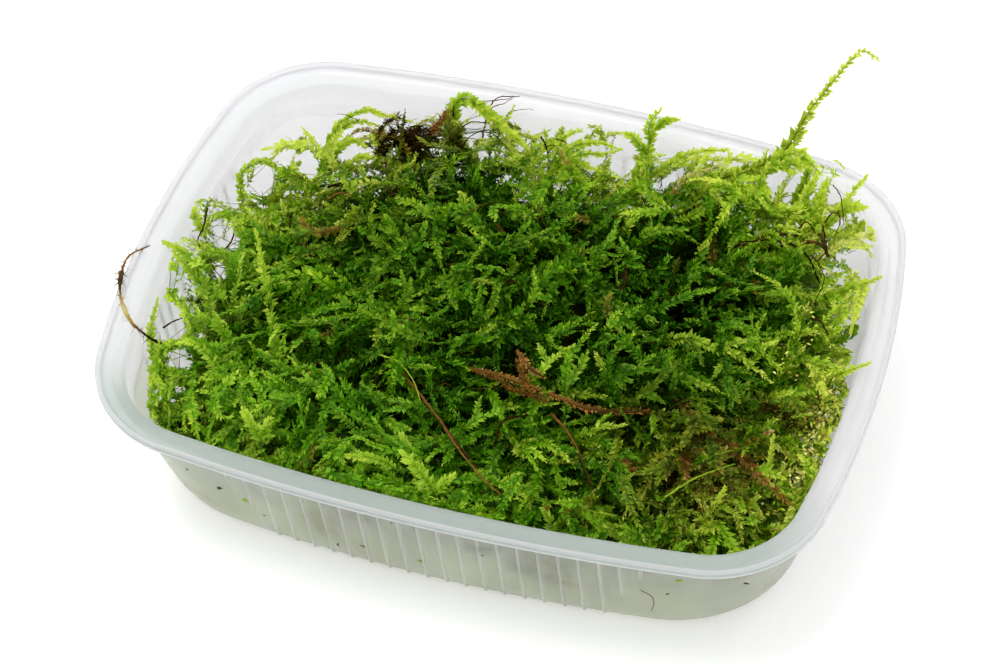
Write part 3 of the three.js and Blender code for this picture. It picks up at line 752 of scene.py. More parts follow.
def moss_top(x, y):
    share = np.clip(moss_share(x, y), 0, 1)
    mound = (MOSS_CROWN_HEIGHT - MOSS_EDGE_HEIGHT) * (1 - share ** 2)
    lumps = np.sin(x / LUMP_LENGTH + LUMP_PHASE) * np.cos((y - LUMP_SLANT * x) / LUMP_LENGTH)
    shoulder = SHOULDER_DROP * share ** SHOULDER_POWER
    return MOSS_EDGE_HEIGHT + mound + LUMP_HEIGHT * lumps + BACK_TILT * y - shoulder


def bumps(spots, x, y):
    total = 0
    for spot_x, spot_y, radius in spots:
        total = total + np.exp(-((x - spot_x) ** 2 + (y - spot_y) ** 2) / radius ** 2)
    return total


def relief(x, y):
    """Knolls, hollows and hummocks over the smooth form of the moss's top."""
    turn = math.radians(CAMERA_AZIMUTH)
    right = x * math.cos(turn) + y * math.sin(turn)
    back = y * math.cos(turn) - x * math.sin(turn)
    hummocks = sum(np.sin(a * right + b * back + phase) for a, b, phase in HUMMOCK_WAVES) * HUMMOCK_HEIGHT
    spots = KNOLL_HEIGHT * bumps(KNOLLS, x, y) - HOLLOW_DEPTH * bumps(HOLLOWS, x, y)
    return (hummocks + spots) * np.clip((1 - moss_share(x, y)) / RELIEF_FADE, RELIEF_LEAST, 1)


def keep_inside(points):
    """Moves points back inside the wall, save what has risen clear of the rim."""
    x, y, z = points[..., 0], points[..., 1], points[..., 2]
    start, pace, most = OVER_RIM
    spare = np.clip((z - TUB_HEIGHT - start) * pace, 0, most)
    reach = wall_reach(x, y, z) * (1 - BARE_HOLD * bare_share(x, y)) + spare
    share = np.minimum(reach / np.maximum(np.hypot(x, y), LEAST_DISTANCE), 1)
    return np.stack([x * share, y * share, np.maximum(z, LEAST_HEIGHT)], axis=-1)


def open_windows(points):
    """Parts the shoots where the tub's wall shows between them from the camera."""
    for x, y, radius in WINDOWS:
        away = points - (x, y, WINDOW_HEIGHT)
        off = away - np.sum(away * SIGHT, axis=-1, keepdims=True) * SIGHT
        distance = np.linalg.norm(off, axis=-1, keepdims=True)
        angle = np.arctan2(off[..., 2:], off[..., :1])
        uneven = 1 + WINDOW_WOBBLE * np.sin(3 * angle + x) * np.sin(angle - y)
        push = np.maximum(radius * uneven + WINDOW_MARGIN - distance / 2, 0)
        points = points + off / np.maximum(distance, LEAST_DISTANCE) * push
    return points


# Where shoots stand apart: the start and width of its growth leftward, rightward or backward
LOOSE_LEFT = (22, 18)
LOOSE_LEFT_BACK = (-26, 14)
LOOSE_BACK = (12, 12)
LOOSE_RIGHT = [((36, 6), (-26, 6)), ((36, 8), (-12, 16))]
LOOSE_RIGHT_SHARE = 0.6
LOOSE_EDGE = (0.68, 0.2)


def looseness(x, y):
    """1 where shoots stand apart with gaps between them: at the left and back edges, less at the right."""
    side = rise(-x, *LOOSE_LEFT) * rise(y, *LOOSE_LEFT_BACK) + rise(y, *LOOSE_BACK)
    for rightward, backward in LOOSE_RIGHT:
        side = side + LOOSE_RIGHT_SHARE * rise(x, *rightward) * rise(y, *backward)
    return np.clip(side, 0, 1) * rise(moss_share(x, y), *LOOSE_EDGE)


# Leafy shoots, many at once: paths hold shoots, stations along each, and coordinates

def unit(vectors):
    return vectors / np.maximum(np.linalg.norm(vectors, axis=-1, keepdims=True), LEAST_LENGTH)


def frames(paths, face):
    travel = unit(np.gradient(paths, axis=1))
    face = face[:, None, :] - travel * np.sum(face[:, None, :] * travel, axis=-1, keepdims=True)
    face = unit(face)
    return travel, face, np.cross(face, travel)


# A plain leaf has a root, two wide points and a tip; a fine one also has a keel point before its tip
PLAIN_LEAF = dict(faces=[(0, 1, 3), (0, 3, 2)], tones=[-0.05, 0.02, 0.02, 0.1], tip_drop=0.04)
FINE_LEAF = dict(faces=[(0, 3, 1), (0, 2, 3), (1, 3, 4), (3, 2, 4)], tones=[-0.05, 0.02, 0.02, 0.0, 0.1],
                 tip_drop=0.14)
# A leaf's widest place, its keel's place, how high its sides fold and how low its keel hangs, in its lengths
WIDEST_PLACE = 0.38
KEEL_PLACE = 0.5
SIDE_FOLD = 0.05
KEEL_DROP = 0.04
# How leaves differ: spread of their turn, and middle and spread of their lift, size and tilt
TURN_SPREAD = 0.22
LEAF_LIFT = (0.1, 0.22)
LEAF_SIZE = (1, 0.18)
LEAF_TILT = (0.3, 0.25)
# Leaf size along a shoot, and how the tone rises to its tip and differs from leaf to leaf
TAPER_PLACES = [0, 0.15, 0.6, 1]
LEAF_TAPER = (0.6, 1, 1, 0.5)
TIP_TONE = 0.2
TONE_SPREAD = 0.08


def leaf_blades(paths, face, length, tone, age, rng, kind=PLAIN_LEAF, taper=LEAF_TAPER,
                width=LEAF_WIDTH_SHARE, angles=LEAF_ANGLES):
    """Two rows of folded, pointed leaves on each path. Returns points, faces and marks."""
    travel, face, side = (part[:, 1:] for part in frames(paths, face))
    stem, tone = paths[:, 1:], tone[:, 1:]
    shoots, pairs = stem.shape[:2]
    share = np.linspace(0, 1, pairs)[None, :]
    size = np.interp(share, TAPER_PLACES, taper) * length[:, None]
    first, last = np.radians(angles)
    angle = first + (last - first) * share ** 2
    step = np.linalg.norm(stem[:, 1] - stem[:, 0], axis=-1)[:, None, None]
    fresh = region_fresh(stem[..., 0], stem[..., 1])[..., None]
    blades, marks = [], []
    for sign in (1, -1):
        turn = angle + rng.normal(0, TURN_SPREAD, (shoots, pairs))
        lift = rng.normal(*LEAF_LIFT, (shoots, pairs, 1))
        long = (size * rng.normal(*LEAF_SIZE, (shoots, pairs)))[..., None]
        out = side * (sign * np.sin(turn))[..., None]
        axis = unit(travel * np.cos(turn)[..., None] + out + face * lift)
        tilt = unit(face + travel * rng.normal(*LEAF_TILT, (shoots, pairs, 1)))
        across = unit(np.cross(axis, tilt)) * long * width / 2
        root = stem + travel * step * (0.5 * (sign > 0))
        wide = root + axis * long * WIDEST_PLACE + tilt * long * SIDE_FOLD
        tip = root + axis * long - tilt * long * kind["tip_drop"]
        rows = [root, wide + across, wide - across, tip]
        if kind is FINE_LEAF:
            rows.insert(3, root + axis * long * KEEL_PLACE - tilt * long * KEEL_DROP)
        blades.append(np.stack(rows, axis=2))
        leaf_tone = tone + TIP_TONE * share ** 3 + rng.normal(0, TONE_SPREAD, (shoots, pairs))
        tones = leaf_tone[..., None] + np.array(kind["tones"])
        marks.append(np.stack(np.broadcast_arrays(tones, age[:, None, None], fresh), axis=-1))
    points = np.stack(blades, axis=2).reshape(-1, 3)
    marks = np.stack(marks, axis=2).reshape(-1, 3)
    corners = len(kind["tones"])
    starts = corners * np.arange(len(points) // corners)
    return points, (np.array(kind["faces"])[None] + starts[:, None, None]).reshape(-1, 3), marks


def tubes(paths, radii, face, tone, age, sides=3):
    """Thin closed-ended stems. Returns points, faces and marks."""
    travel, face, side = frames(paths, face)
    turns = 2 * math.pi * np.arange(sides) / sides
    offset = side[:, :, None] * np.cos(turns)[:, None] + face[:, :, None] * np.sin(turns)[:, None]
    points = paths[:, :, None] + offset * radii[:, :, None, None]
    shoots, stations = paths.shape[:2]
    row = np.arange(sides)
    after = (row + 1) % sides
    step = np.concatenate([
        np.stack([row, after, after + sides], axis=1),
        np.stack([row, after + sides, row + sides], axis=1),
    ])
    along_faces = (step[None] + sides * np.arange(stations - 1)[:, None, None]).reshape(-1, 3)
    start = np.stack([np.zeros(sides - 2, int), row[2:], row[1:-1]], axis=1)
    end = start[:, ::-1] + sides * (stations - 1)
    one = np.concatenate([along_faces, start, end])
    faces = (one[None] + sides * stations * np.arange(shoots)[:, None, None]).reshape(-1, 3)
    tones = tone[..., None] + np.zeros((shoots, stations, sides))
    marks = np.stack(np.broadcast_arrays(tones, age[:, None, None], 0.0), axis=-1)
    return points.reshape(-1, 3), faces, marks.reshape(-1, 3)


def join(parts):
    """Joins lists of points, faces and marks into one."""
    points, faces, marks, start = [], [], [], 0
    for part_points, part_faces, part_marks in parts:
        points.append(part_points)
        faces.append(part_faces + start)
        marks.append(part_marks)
        start += len(part_points)
    return np.concatenate(points), np.concatenate(faces), np.concatenate(marks)


# A stem's radius at its tip, in its radii at the root, and how much darker and older it is than its leaves
STEM_TIP = 0.4
STEM_DARKER = 0.04
STEM_OLDER = 0.12


def stem_parts(paths, face, tone, age, radius=STEM_RADIUS, stride=STEM_STRIDE):
    picked = np.unique(np.append(np.arange(0, paths.shape[1], stride), paths.shape[1] - 1))
    taper = np.interp(picked, [0, paths.shape[1] - 1], [1, STEM_TIP])
    radii = np.broadcast_to(taper * radius, (len(paths), len(taper)))
    older = np.clip(age + STEM_OLDER, 0, 1)
    return tubes(paths[:, picked], radii, face, tone[:, picked] - STEM_DARKER, older)


# The tangle

def toward(heading, pitch):
    """Directions from a heading over the plan and a pitch upward, in radians."""
    level = np.cos(pitch)
    return np.stack([level * np.cos(heading), level * np.sin(heading), np.sin(pitch)], axis=1)


def grow(root, direction, turn, stations, step, rng):
    """Wandering paths: each leaves its root along its direction and is drawn over by its turn."""
    share = np.linspace(0, 1, stations)[None, :, None]
    wander = np.cumsum(rng.normal(0, WANDER, (len(root), stations, 3)), axis=1)
    course = unit(direction[:, None] + turn[:, None] * share + wander)
    course[:, 0] = 0
    return root[:, None] + np.cumsum(course * step[:, None, None], axis=1)


# How much of a path's height over its allowance is taken away
SETTLE_SHARE = 0.85


def settle(paths, allowance):
    """Presses paths down to the moss's top and back inside the wall."""
    x, y = paths[..., 0], paths[..., 1]
    top = moss_top(x, y) + relief(x, y) + allowance[:, None]
    over = np.maximum(paths[..., 2] - top, 0)
    paths[..., 2] -= over * SETTLE_SHARE
    return keep_inside(paths)


# Points drawn per root, how near the moss's edge roots come, share left out where it is loose
DRAWS_PER_ROOT = 4
ROOT_EDGE = 0.96
LOOSE_THINNING = 0.86


def scatter_roots(count, rng):
    """Plan points spread over the moss, fewer where it is loose."""
    half = np.array([RIM["length"], RIM["width"]])
    points = rng.uniform(-1, 1, (count * DRAWS_PER_ROOT, 2)) * half
    thinned = rng.random(len(points)) > LOOSE_THINNING * looseness(*points.T)
    keep = (moss_share(*points.T) < ROOT_EDGE) & thinned
    return points[keep][:count]


# How shoots lie: the middle outward ones leave, growth at the edge, where rows part, blend and fan out
FLOW_MIDDLE_Y = -4
FLOW_EDGE = (0.55, 0.35)
FLOW_DIVIDE = -6
FLOW_BLEND = 12
FLOW_FAN = 0.02


def flow(x, y, rng):
    """The way the shoots lie: along the tub in the middle, outward near the edges."""
    outward_angle = np.arctan2(y - FLOW_MIDDLE_Y, x)
    lean = rise(moss_share(x, y), *FLOW_EDGE)
    leftward = rng.random(len(x)) < 1 / (1 + np.exp((x - FLOW_DIVIDE) / FLOW_BLEND))
    rows = math.radians(CAMERA_AZIMUTH) + np.where(leftward, math.pi, 0) + FLOW_FAN * y
    across = (1 - lean) * np.cos(rows) + lean * np.cos(outward_angle)
    back = (1 - lean) * np.sin(rows) + lean * np.sin(outward_angle)
    return np.arctan2(back, across)


# Tone over the plan: starts and widths of growth, spots, and the amount that each adds
# Painted backlight: the lime that the edges get, most at the back, left and right, stands for light through
# the thin shoots
LIME_EDGE = (0.55, 0.45)
LIME_EDGE_POWER = 1.4
LIME_BACK = (-20, 40)
LIME_LEFT = (12, 34)
LIME_RIGHT = (32, 18)
BACKLIGHT_LIME = dict(plain=0.35, back=0.55, left=0.6, right=0.5)
FRINGE = (14, 16)
PALE_RIGHT = (22, 14)
DARK_SPOT = (22, 2, 18, 16)
ROOTS_SPOT = (-21, 26, 8, 5)
TONE = dict(plain=0.52, backlit_lime=0.26, left=0.06, fringe=0.21, dark=-0.13, by_roots=-0.5, right=0.07)


def region_tone(x, y):
    """Lime at the left, back and right edges as painted backlight, deep green right of the middle, dark by
    the root knot, and painted light and shade by the relief.
    """
    edge = rise(moss_share(x, y), *LIME_EDGE) ** LIME_EDGE_POWER
    left = rise(-x, *LIME_LEFT)
    lit = BACKLIGHT_LIME["plain"] + BACKLIGHT_LIME["back"] * rise(y, *LIME_BACK) + BACKLIGHT_LIME["left"] * left
    backlit_lime = edge * np.clip(lit + BACKLIGHT_LIME["right"] * rise(x, *LIME_RIGHT), 0, 1)
    total = TONE["plain"] + TONE["backlit_lime"] * backlit_lime + TONE["left"] * left
    total = total + TONE["fringe"] * rise(y, *FRINGE) + TONE["right"] * rise(x, *PALE_RIGHT)
    total = total + TONE["dark"] * patch(x, y, DARK_SPOT) + TONE["by_roots"] * patch(x, y, ROOTS_SPOT)
    # Painted light on knolls and painted shade in hollows
    return total + LIGHT_AND_SHADE_PER_RELIEF * relief(x, y)


def spotted(x, y, spots):
    return sum(amount * patch(x, y, spot) for spot, amount in spots)


# Spots and amounts of fresher green and of age
FRESH_PLAIN = 0.15
FRESH_SPOTS = [((-22, -24, 26, 16), 0.6), ((-42, -6, 8, 9), 0.5), ((5, -30, 30, 10), 0.4)]
AGE_SPOTS = [((33, -20, 13, 11), 0.5), ((-22, 26, 8, 5), 0.65), ((-29, 12, 13, 10), 0.2)]
AGED_EDGE = (0.6, 0.3)
AGED_EDGE_BACK = (-24, 20)
EDGE_AGE = 0.1


def region_fresh(x, y):
    """Fresher, cooler green at the front left, less so towards the right and the back; its colours also lift
    the dark gaps there as painted light.
    """
    return np.clip(FRESH_PLAIN + spotted(x, y, FRESH_SPOTS), 0, 1)


def region_age(x, y):
    """Olive brown at the front right and by the root knot, a little at the back left and at the edges."""
    edge = rise(moss_share(x, y), *AGED_EDGE) * rise(y, *AGED_EDGE_BACK)
    return spotted(x, y, AGE_SPOTS) + EDGE_AGE * edge


CANOPY_MARGIN = 4


def canopy(points):
    """A function that gives how far below the highest shoots nearby a point lies."""
    reach = int(RIM["length"] / CANOPY_CELL) + CANOPY_MARGIN

    def cells(at):
        return tuple((at[..., i] / CANOPY_CELL).astype(int) + reach for i in (0, 1))

    tops = np.zeros((2 * reach, 2 * reach))
    np.maximum.at(tops, cells(points), points[..., 2])
    for axis in (0, 1):
        tops = np.maximum(tops, np.maximum(np.roll(tops, 1, axis), np.roll(tops, -1, axis)))
    for axis in (0, 1):
        tops = (tops + np.roll(tops, 1, axis) + np.roll(tops, -1, axis)) / 3
    return lambda at: np.maximum(tops[cells(at)] - at[..., 2], 0)


# The main shoots, as middle and spread or as spread alone, and what looseness adds to each
DEPTH_POWER = 1.1
ROOT_DROP = 0.4
HEADING_SPREAD = 0.8
PITCH = (0.35, 0.4)
BEND_SPREAD = 0.9
DROOP = (0.45, 0.5)
SIZE = (1, 0.18)
SIZE_LIMITS = (0.6, 1.5)
RISE_LEAST = 0.8
RISE_MEAN = 0.6
FACE_SPREAD = 0.6
FACE_TILT = -0.2
FACE_UP = 0.8
LOOSE = dict(depth=-0.4, heading=0.3, pitch=0.4, droop=0.8, rise=2.5)


def make_mains(rng):
    """The main shoots of the tangle: their paths, the way each faces and its size."""
    roots = scatter_roots(MAIN_SHOOTS, rng)
    x, y = roots.T
    count = len(x)
    loose = looseness(x, y)
    depth = rng.random(count) ** DEPTH_POWER * TANGLE_DEPTH * (1 + LOOSE["depth"] * loose)
    z = moss_top(x, y) + relief(x, y) - ROOT_DROP - depth
    heading = flow(x, y, rng) + rng.normal(0, 1, count) * (HEADING_SPREAD + LOOSE["heading"] * loose)
    pitch = rng.normal(*PITCH, count) + LOOSE["pitch"] * loose
    bend = rng.normal(0, BEND_SPREAD, count)
    droop = rng.normal(*DROOP, count) + LOOSE["droop"] * loose
    turn = np.stack([-bend * np.sin(heading), bend * np.cos(heading), -droop], axis=1)
    scale = np.clip(rng.normal(*SIZE, count), *SIZE_LIMITS)
    root = np.column_stack([roots, z])
    paths = grow(root, toward(heading, pitch), turn, MAIN_PAIRS + 1, LEAF_STEP * scale, rng)
    paths = settle(paths, RISE_LEAST + LOOSE["rise"] * loose + rng.exponential(RISE_MEAN, count))
    lean = rng.normal(0, FACE_SPREAD, count)
    tilt = rng.normal(FACE_TILT, FACE_SPREAD, count)
    face = unit(np.column_stack([lean, tilt, np.full(count, FACE_UP)]))
    return open_windows(paths), face, scale


# Side shoots: spread of angle and rise, middle and spread of size, its fall along the shoot, their turn
BRANCH_SPREAD = 0.15
BRANCH_SIZE = (0.85, 0.15)
BRANCH_FALL = (1.1, 0.5)
BRANCH_FORWARD = 0.4
BRANCH_DROOP = 0.25


def make_branches(paths, face, scale, rng):
    """Side shoots in each shoot's own plane, left and right by turns."""
    travel, up, side = frames(paths, face)
    count = len(paths)
    groups = []
    for index, place in enumerate(BRANCH_PLACES):
        at = round(place * MAIN_PAIRS)
        sign = 1 if index % 2 else -1
        angle = np.radians(BRANCH_ANGLE) + rng.normal(0, BRANCH_SPREAD, count)[:, None]
        out = travel[:, at] * np.cos(angle) + sign * side[:, at] * np.sin(angle)
        direction = unit(out + up[:, at] * rng.normal(0, BRANCH_SPREAD, (count, 1)))
        size = scale * rng.normal(*BRANCH_SIZE, count) * (BRANCH_FALL[0] - BRANCH_FALL[1] * place)
        turn = BRANCH_FORWARD * travel[:, at] - np.array([0, 0, BRANCH_DROOP])
        grown = grow(paths[:, at], direction, turn, BRANCH_PAIRS + 1, LEAF_STEP * size, rng)
        groups.append((keep_inside(open_windows(grown)), up[:, at], size))
    return tuple(np.concatenate(part) for part in zip(*groups))


# Looks of a shoot: spread of tone and age, less painted shade at the front and between loose shoots, and
# dead shoots
OWN_TONE_SPREAD = 0.1
OWN_AGE_SPREAD = 0.12
FRONT_LIGHT = (12, 12)
LOOSE_LIGHT = 0.6
DEEPEST = 5
DEAD_SHARE = 0.025
DEAD_AGE = 0.7
DEAD_BELOW_LOOSENESS = 0.5


def shoot_looks(paths, depth_below, rng):
    """Each station's tone, darkened by painted shade below the canopy, and each shoot's age."""
    middle = paths[:, paths.shape[1] // 2]
    x, y = middle[:, 0], middle[:, 1]
    count = len(x)
    own = region_tone(x, y) + rng.normal(0, OWN_TONE_SPREAD, count)
    front = LIT_FRONT * rise(-y, *FRONT_LIGHT)
    loose = looseness(x, y)
    # Painted shade: the deeper below the canopy, the darker the tone
    shade = SHADE_PER_DEPTH * (1 - LOOSE_LIGHT * loose) * (1 - front)
    tone = own[:, None] - shade[:, None] * np.minimum(depth_below(paths), DEEPEST)
    dead = (rng.random(count) < DEAD_SHARE) * DEAD_AGE * (loose < DEAD_BELOW_LOOSENESS)
    age = np.clip(region_age(x, y) + rng.normal(0, OWN_AGE_SPREAD, count) + dead, 0, 1)
    return tone, age


LEAF_SIZE_LIMITS = (0.75, 1.25)
TANGLE_PIECES = 3


def make_tangle():
    rng = np.random.default_rng(SEEDS["tangle"])
    material = leaf_material("moss_leaves", through=0.35)
    mains = make_mains(rng)
    branches = make_branches(*mains, rng)
    depth_below = canopy(np.concatenate([mains[0].reshape(-1, 3), branches[0].reshape(-1, 3)]))
    for kind, (paths, face, scale) in (("moss_shoots", mains), ("moss_branches", branches)):
        tone, age = shoot_looks(paths, depth_below, rng)
        order = np.argsort(paths[:, 0, 0])
        for number, chosen in enumerate(np.array_split(order, TANGLE_PIECES)):
            looks = tone[chosen], age[chosen]
            length = LEAF_LENGTH * np.clip(scale[chosen], *LEAF_SIZE_LIMITS)
            points, faces, marks = join([
                leaf_blades(paths[chosen], face[chosen], length, *looks, rng),
                stem_parts(paths[chosen], face[chosen], *looks),
            ])
            piece = add_mesh(f"{kind}_{number + 1}", points, faces, material, marks, smooth=False)
            place_piece(piece, "moss_cushion")


# The core: points round it, rings over its top, where its looseness is read, and how rough it is
CORE_SIDES = 180
CORE_RINGS = 28
CORE_LEAST_RING = 0.02
CORE_LOOSE_AT = 0.92
CORE_EDGE_DROP = 1.5
CORE_FOOT_INSET = 2
CORE_ROUGHNESS = 0.4
CORE_SMOOTH_BELOW = 2
# Its looks: growth downward and toward the edge, rightward fade, blotches, tones and ages; its dark tone is
# painted shade and its paler edge is painted light
CORE_LOW = (-17, 6)
CORE_EDGE_LIGHT = (0.6, 0.3)
CORE_RIGHT = 30
BLOTCH_WAVES = [((0.55, 0, 0.9), 0), ((0, 0.4, -0.6), 1)]
CORE_TONE_LIGHT_AND_SHADE = dict(plain=0.12, low=0.5, blotch=0.25, edge=0.42)
CORE_AGE = dict(plain=0.3, right=0.1, blotch=-0.15)


def core_rows(across, along_y):
    """Rings up the core's side and over its top, toward the middle."""
    at = wall_reach(across, along_y, LEDGE_HEIGHT) * CORE_LOOSE_AT
    loose = looseness(at * across, at * along_y)
    rows = []
    for z, slope in CORE_SIDE:
        reach = wall_reach(across, along_y, z) - CORE_GAP - np.clip(BASE_FILLET - z, 0, CORE_FOOT_INSET)
        reach = reach * (1 - bare_share(across, along_y)) - slope * loose
        rows.append(np.column_stack([across * reach, along_y * reach, np.full(len(across), z)]))
    edge = np.hypot(*rows[-1].T[:2])
    for share in np.linspace(1, CORE_LEAST_RING, CORE_RINGS):
        x, y = across * edge * share, along_y * edge * share
        drop = CORE_DEPTH + CORE_EDGE_DROP * (share == 1)
        rows.append(np.column_stack([x, y, moss_top(x, y) + relief(x, y) - drop]))
    return rows


def core_marks(points):
    """Tone and age of the core: pale and blotchy low down, where the wall shows it, paler at the moss's edge
    as painted light, and dark above as painted shade.
    """
    x, y, z = points.T
    low = rise(-z, *CORE_LOW)
    edge = rise(moss_share(x, y), *CORE_EDGE_LIGHT)
    right = (1 + np.clip(x / CORE_RIGHT, -1, 1)) / 2
    waves = [np.sin(points @ np.array(wave) + phase) for wave, phase in BLOTCH_WAVES]
    blotch = (1 + waves[0] * waves[1]) / 2
    pale = low * (CORE_TONE_LIGHT_AND_SHADE["low"] + CORE_TONE_LIGHT_AND_SHADE["blotch"] * blotch)
    # Dark plain tone as painted shade, paler edge as painted light
    tone = CORE_TONE_LIGHT_AND_SHADE["plain"] + np.maximum(pale, CORE_TONE_LIGHT_AND_SHADE["edge"] * edge)
    age = CORE_AGE["plain"] + low * (CORE_AGE["right"] * right + CORE_AGE["blotch"] * blotch)
    return np.column_stack([tone, age, 0 * low])


def make_core():
    """The dark inside of the tangle, below the shoots that show; its dark is painted shade."""
    rng = np.random.default_rng(SEEDS["core"])
    material = leaf_material("moss_inside", through=0.1)
    angles = np.linspace(0, 2 * math.pi, CORE_SIDES, endpoint=False)
    rows = core_rows(np.cos(angles), np.sin(angles))
    points = np.concatenate(rows)
    points += rng.normal(0, CORE_ROUGHNESS, points.shape) * np.clip(points[:, 2:] - CORE_SMOOTH_BELOW, 0, 1)
    faces = ring_faces(len(rows), CORE_SIDES)
    core = add_mesh("moss_core", points, faces, material, core_marks(points), smooth=False)
    place_piece(core, "moss_cushion")


# Dark twigs and long hairs on the moss: route, radius, tone
TWIGS = [
    ([(39.7, 25.9, 24.5), (40.6, 26.9, 25.8), (41.8, 27.0, 25.2)], 0.14, 0.35),
    ([(41.1, 27.9, 25.3), (41.9, 25.7, 25.4), (41.6, 23.7, 24.3)], 0.12, 0.3),
    ([(31.3, 21.4, 23.6), (34.6, 21.7, 24.8), (37.0, 22.2, 24.6)], 0.3, 0.22),
    ([(36.0, 22.6, 23.8), (37.3, 24.3, 25.6), (39.0, 23.3, 24.6)], 0.16, 0.08),
    ([(37.2, 21.1, 24.6), (39.2, 21.3, 25), (40.5, 21.0, 24.8), (41.7, 20.2, 23.8)], 0.3, 0.3),
    ([(39.4, 23.5, 24.4), (40.3, 21.7, 25.6), (41.6, 19.7, 24.2)], 0.34, 0.28),
    ([(39.5, 31.1, 27), (41.1, 28.9, 27.2), (42.4, 26.2, 24.6)], 0.09, 0.12),
    ([(39.3, 19.8, 23.8), (41.6, 17.4, 24)], 0.1, 0.1),
    ([(-14.3, 33.2, 25.4), (-14.0, 34.3, 26), (-12.0, 34.9, 26.4), (-10.1, 35.9, 26.4)], 0.1, 0.34),
    ([(-12.7, 32.6, 25.4), (-12.4, 33.7, 26), (-11.1, 34.3, 26.4), (-10.0, 35.9, 26.4)], 0.1, 0.5),
    ([(-10.2, 31.6, 24.6), (-10.1, 33.1, 25.6), (-9.3, 33.7, 26), (-7.3, 34.7, 26),
      (-6.5, 35, 25.6)], 0.07, 0.2),
    ([(-4.0, 30.3, 25.4), (-2.9, 29.1, 25), (-2.4, 28.5, 23.6)], 0.16, 0.06),
    ([(-1.9, 30.9, 25), (-0.5, 30.4, 25.4), (0.5, 30.2, 24.6)], 0.1, 0.1),
    ([(-3.4, 28.6, 23.6), (-2.8, 29.3, 24.6), (-1.8, 29.6, 25), (-0.9, 29.6, 24.4)], 0.08, 0.12),
    ([(-31.4, 27.2, 24.2), (-33.2, 27.1, 25), (-34.5, 26.7, 25.2)], 0.07, 0.2),
    ([(-17.9, 31.4, 24.6), (-18.2, 32.5, 25.8)], 0.14, 0.06),
    ([(-17.9, 25.0, 24), (-15.4, 30.2, 25), (-12.3, 31.3, 25)], 0.12, 0.22),
    ([(-15.4, 23.0, 23.5), (-14.1, 28.0, 25), (-11.2, 29.3, 25), (-7.9, 27.4, 24)], 0.1, 0.12),
    ([(-46.7, 4.5, 24), (-46.1, 1.4, 23.6), (-46.3, -0.7, 22.8), (-45.2, -2.1, 22)], 0.15, 0.2),
    ([(-46.2, -5.0, 22.6), (-44.9, -4.9, 23.4), (-43.6, -5.2, 22.8)], 0.22, 0.24),
    ([(-45.3, -5.7, 22.4), (-44.3, -5.2, 23.4), (-44.4, -3.4, 22.8)], 0.18, 0.2),
    ([(-45.4, -17.0, 21.8), (-44.2, -16.2, 22.6), (-43.4, -14.7, 22)], 0.16, 0.3),
    ([(-42.3, -1.6, 22.4), (-41.2, 0.0, 23.6), (-41.9, 3.4, 23.6)], 0.14, 0.12),
    ([(-40.9, 6.3, 22.6), (-39.1, 2.4, 23.4), (-35.7, -2.7, 23.4)], 0.13, 0.1),
    ([(-35.4, 9.2, 23.2), (-33.1, 2.4, 24.8), (-28.8, -5.4, 24.8), (-26.7, -8.1, 24)], 0.13, 0.08),
    ([(-31.0, 14.2, 23.6), (-28.5, 13.5, 24.8), (-27.2, 14.9, 23.8)], 0.2, 0.14),
    ([(13.6, 11.6, 24.2), (15, 8.8, 25), (15.6, 5.7, 25.4), (15.5, 2.9, 25.2),
      (15.7, -0.9, 24)], 0.24, 0.16),
    ([(6.3, -25.6, 23.6), (6.4, -24.2, 25), (6.6, -22.5, 25.4), (7.7, -21.5, 25.4),
      (9.4, -19.8, 24.4)], 0.22, 0.12),
    ([(28.1, 17.5, 24), (29.2, 18.3, 25), (31.1, 19.2, 25), (33.2, 20.8, 24.2)], 0.12, 0.06),
    ([(39.5, 25.2, 24.6), (41.2, 20.2, 25.2), (40.6, 17.6, 25.2), (42.2, 14.7, 25),
      (41.6, 10.2, 23.8)], 0.12, 0.1),
    ([(42.1, 8.4, 23.8), (43.4, 7.5, 24.4), (44.9, 6.1, 23.6)], 0.22, 0.2),
    ([(-13.3, -7.1, 25), (-10.5, -13.4, 25.4), (-8.0, -17.4, 25)], 0.09, 0.2),
    ([(-13.5, -15.4, 24.6), (-10.5, -16.4, 25.2), (-7.4, -19.2, 25.6), (-5.3, -22.3, 25.6)], 0.13, 0.68),
    ([(-1.6, -24.4, 24.5), (0.6, -27, 25), (3, -29.2, 24.8), (6.6, -31.8, 24.2),
      (9.6, -33.2, 23.4)], 0.2, 0.5),
    ([(-30.2, 10.5, 24.6), (-28.7, 11.4, 25.4), (-27.1, 12.1, 24.8)], 0.16, 0.5),
    ([(-31, 12.8, 24.6), (-29.1, 13.4, 25.4), (-27.1, 14.3, 24.6)], 0.2, 0.1),
    ([(30.8, -28.8, 25), (33, -26.3, 25.8), (35.1, -23.8, 25.6), (38.3, -20.3, 24.6)], 0.18, 0.58),
]
# Twigs paler than this are still partly green
LIVING_TWIG_TONE = 0.55
LIVING_TWIG_AGE = 0.3
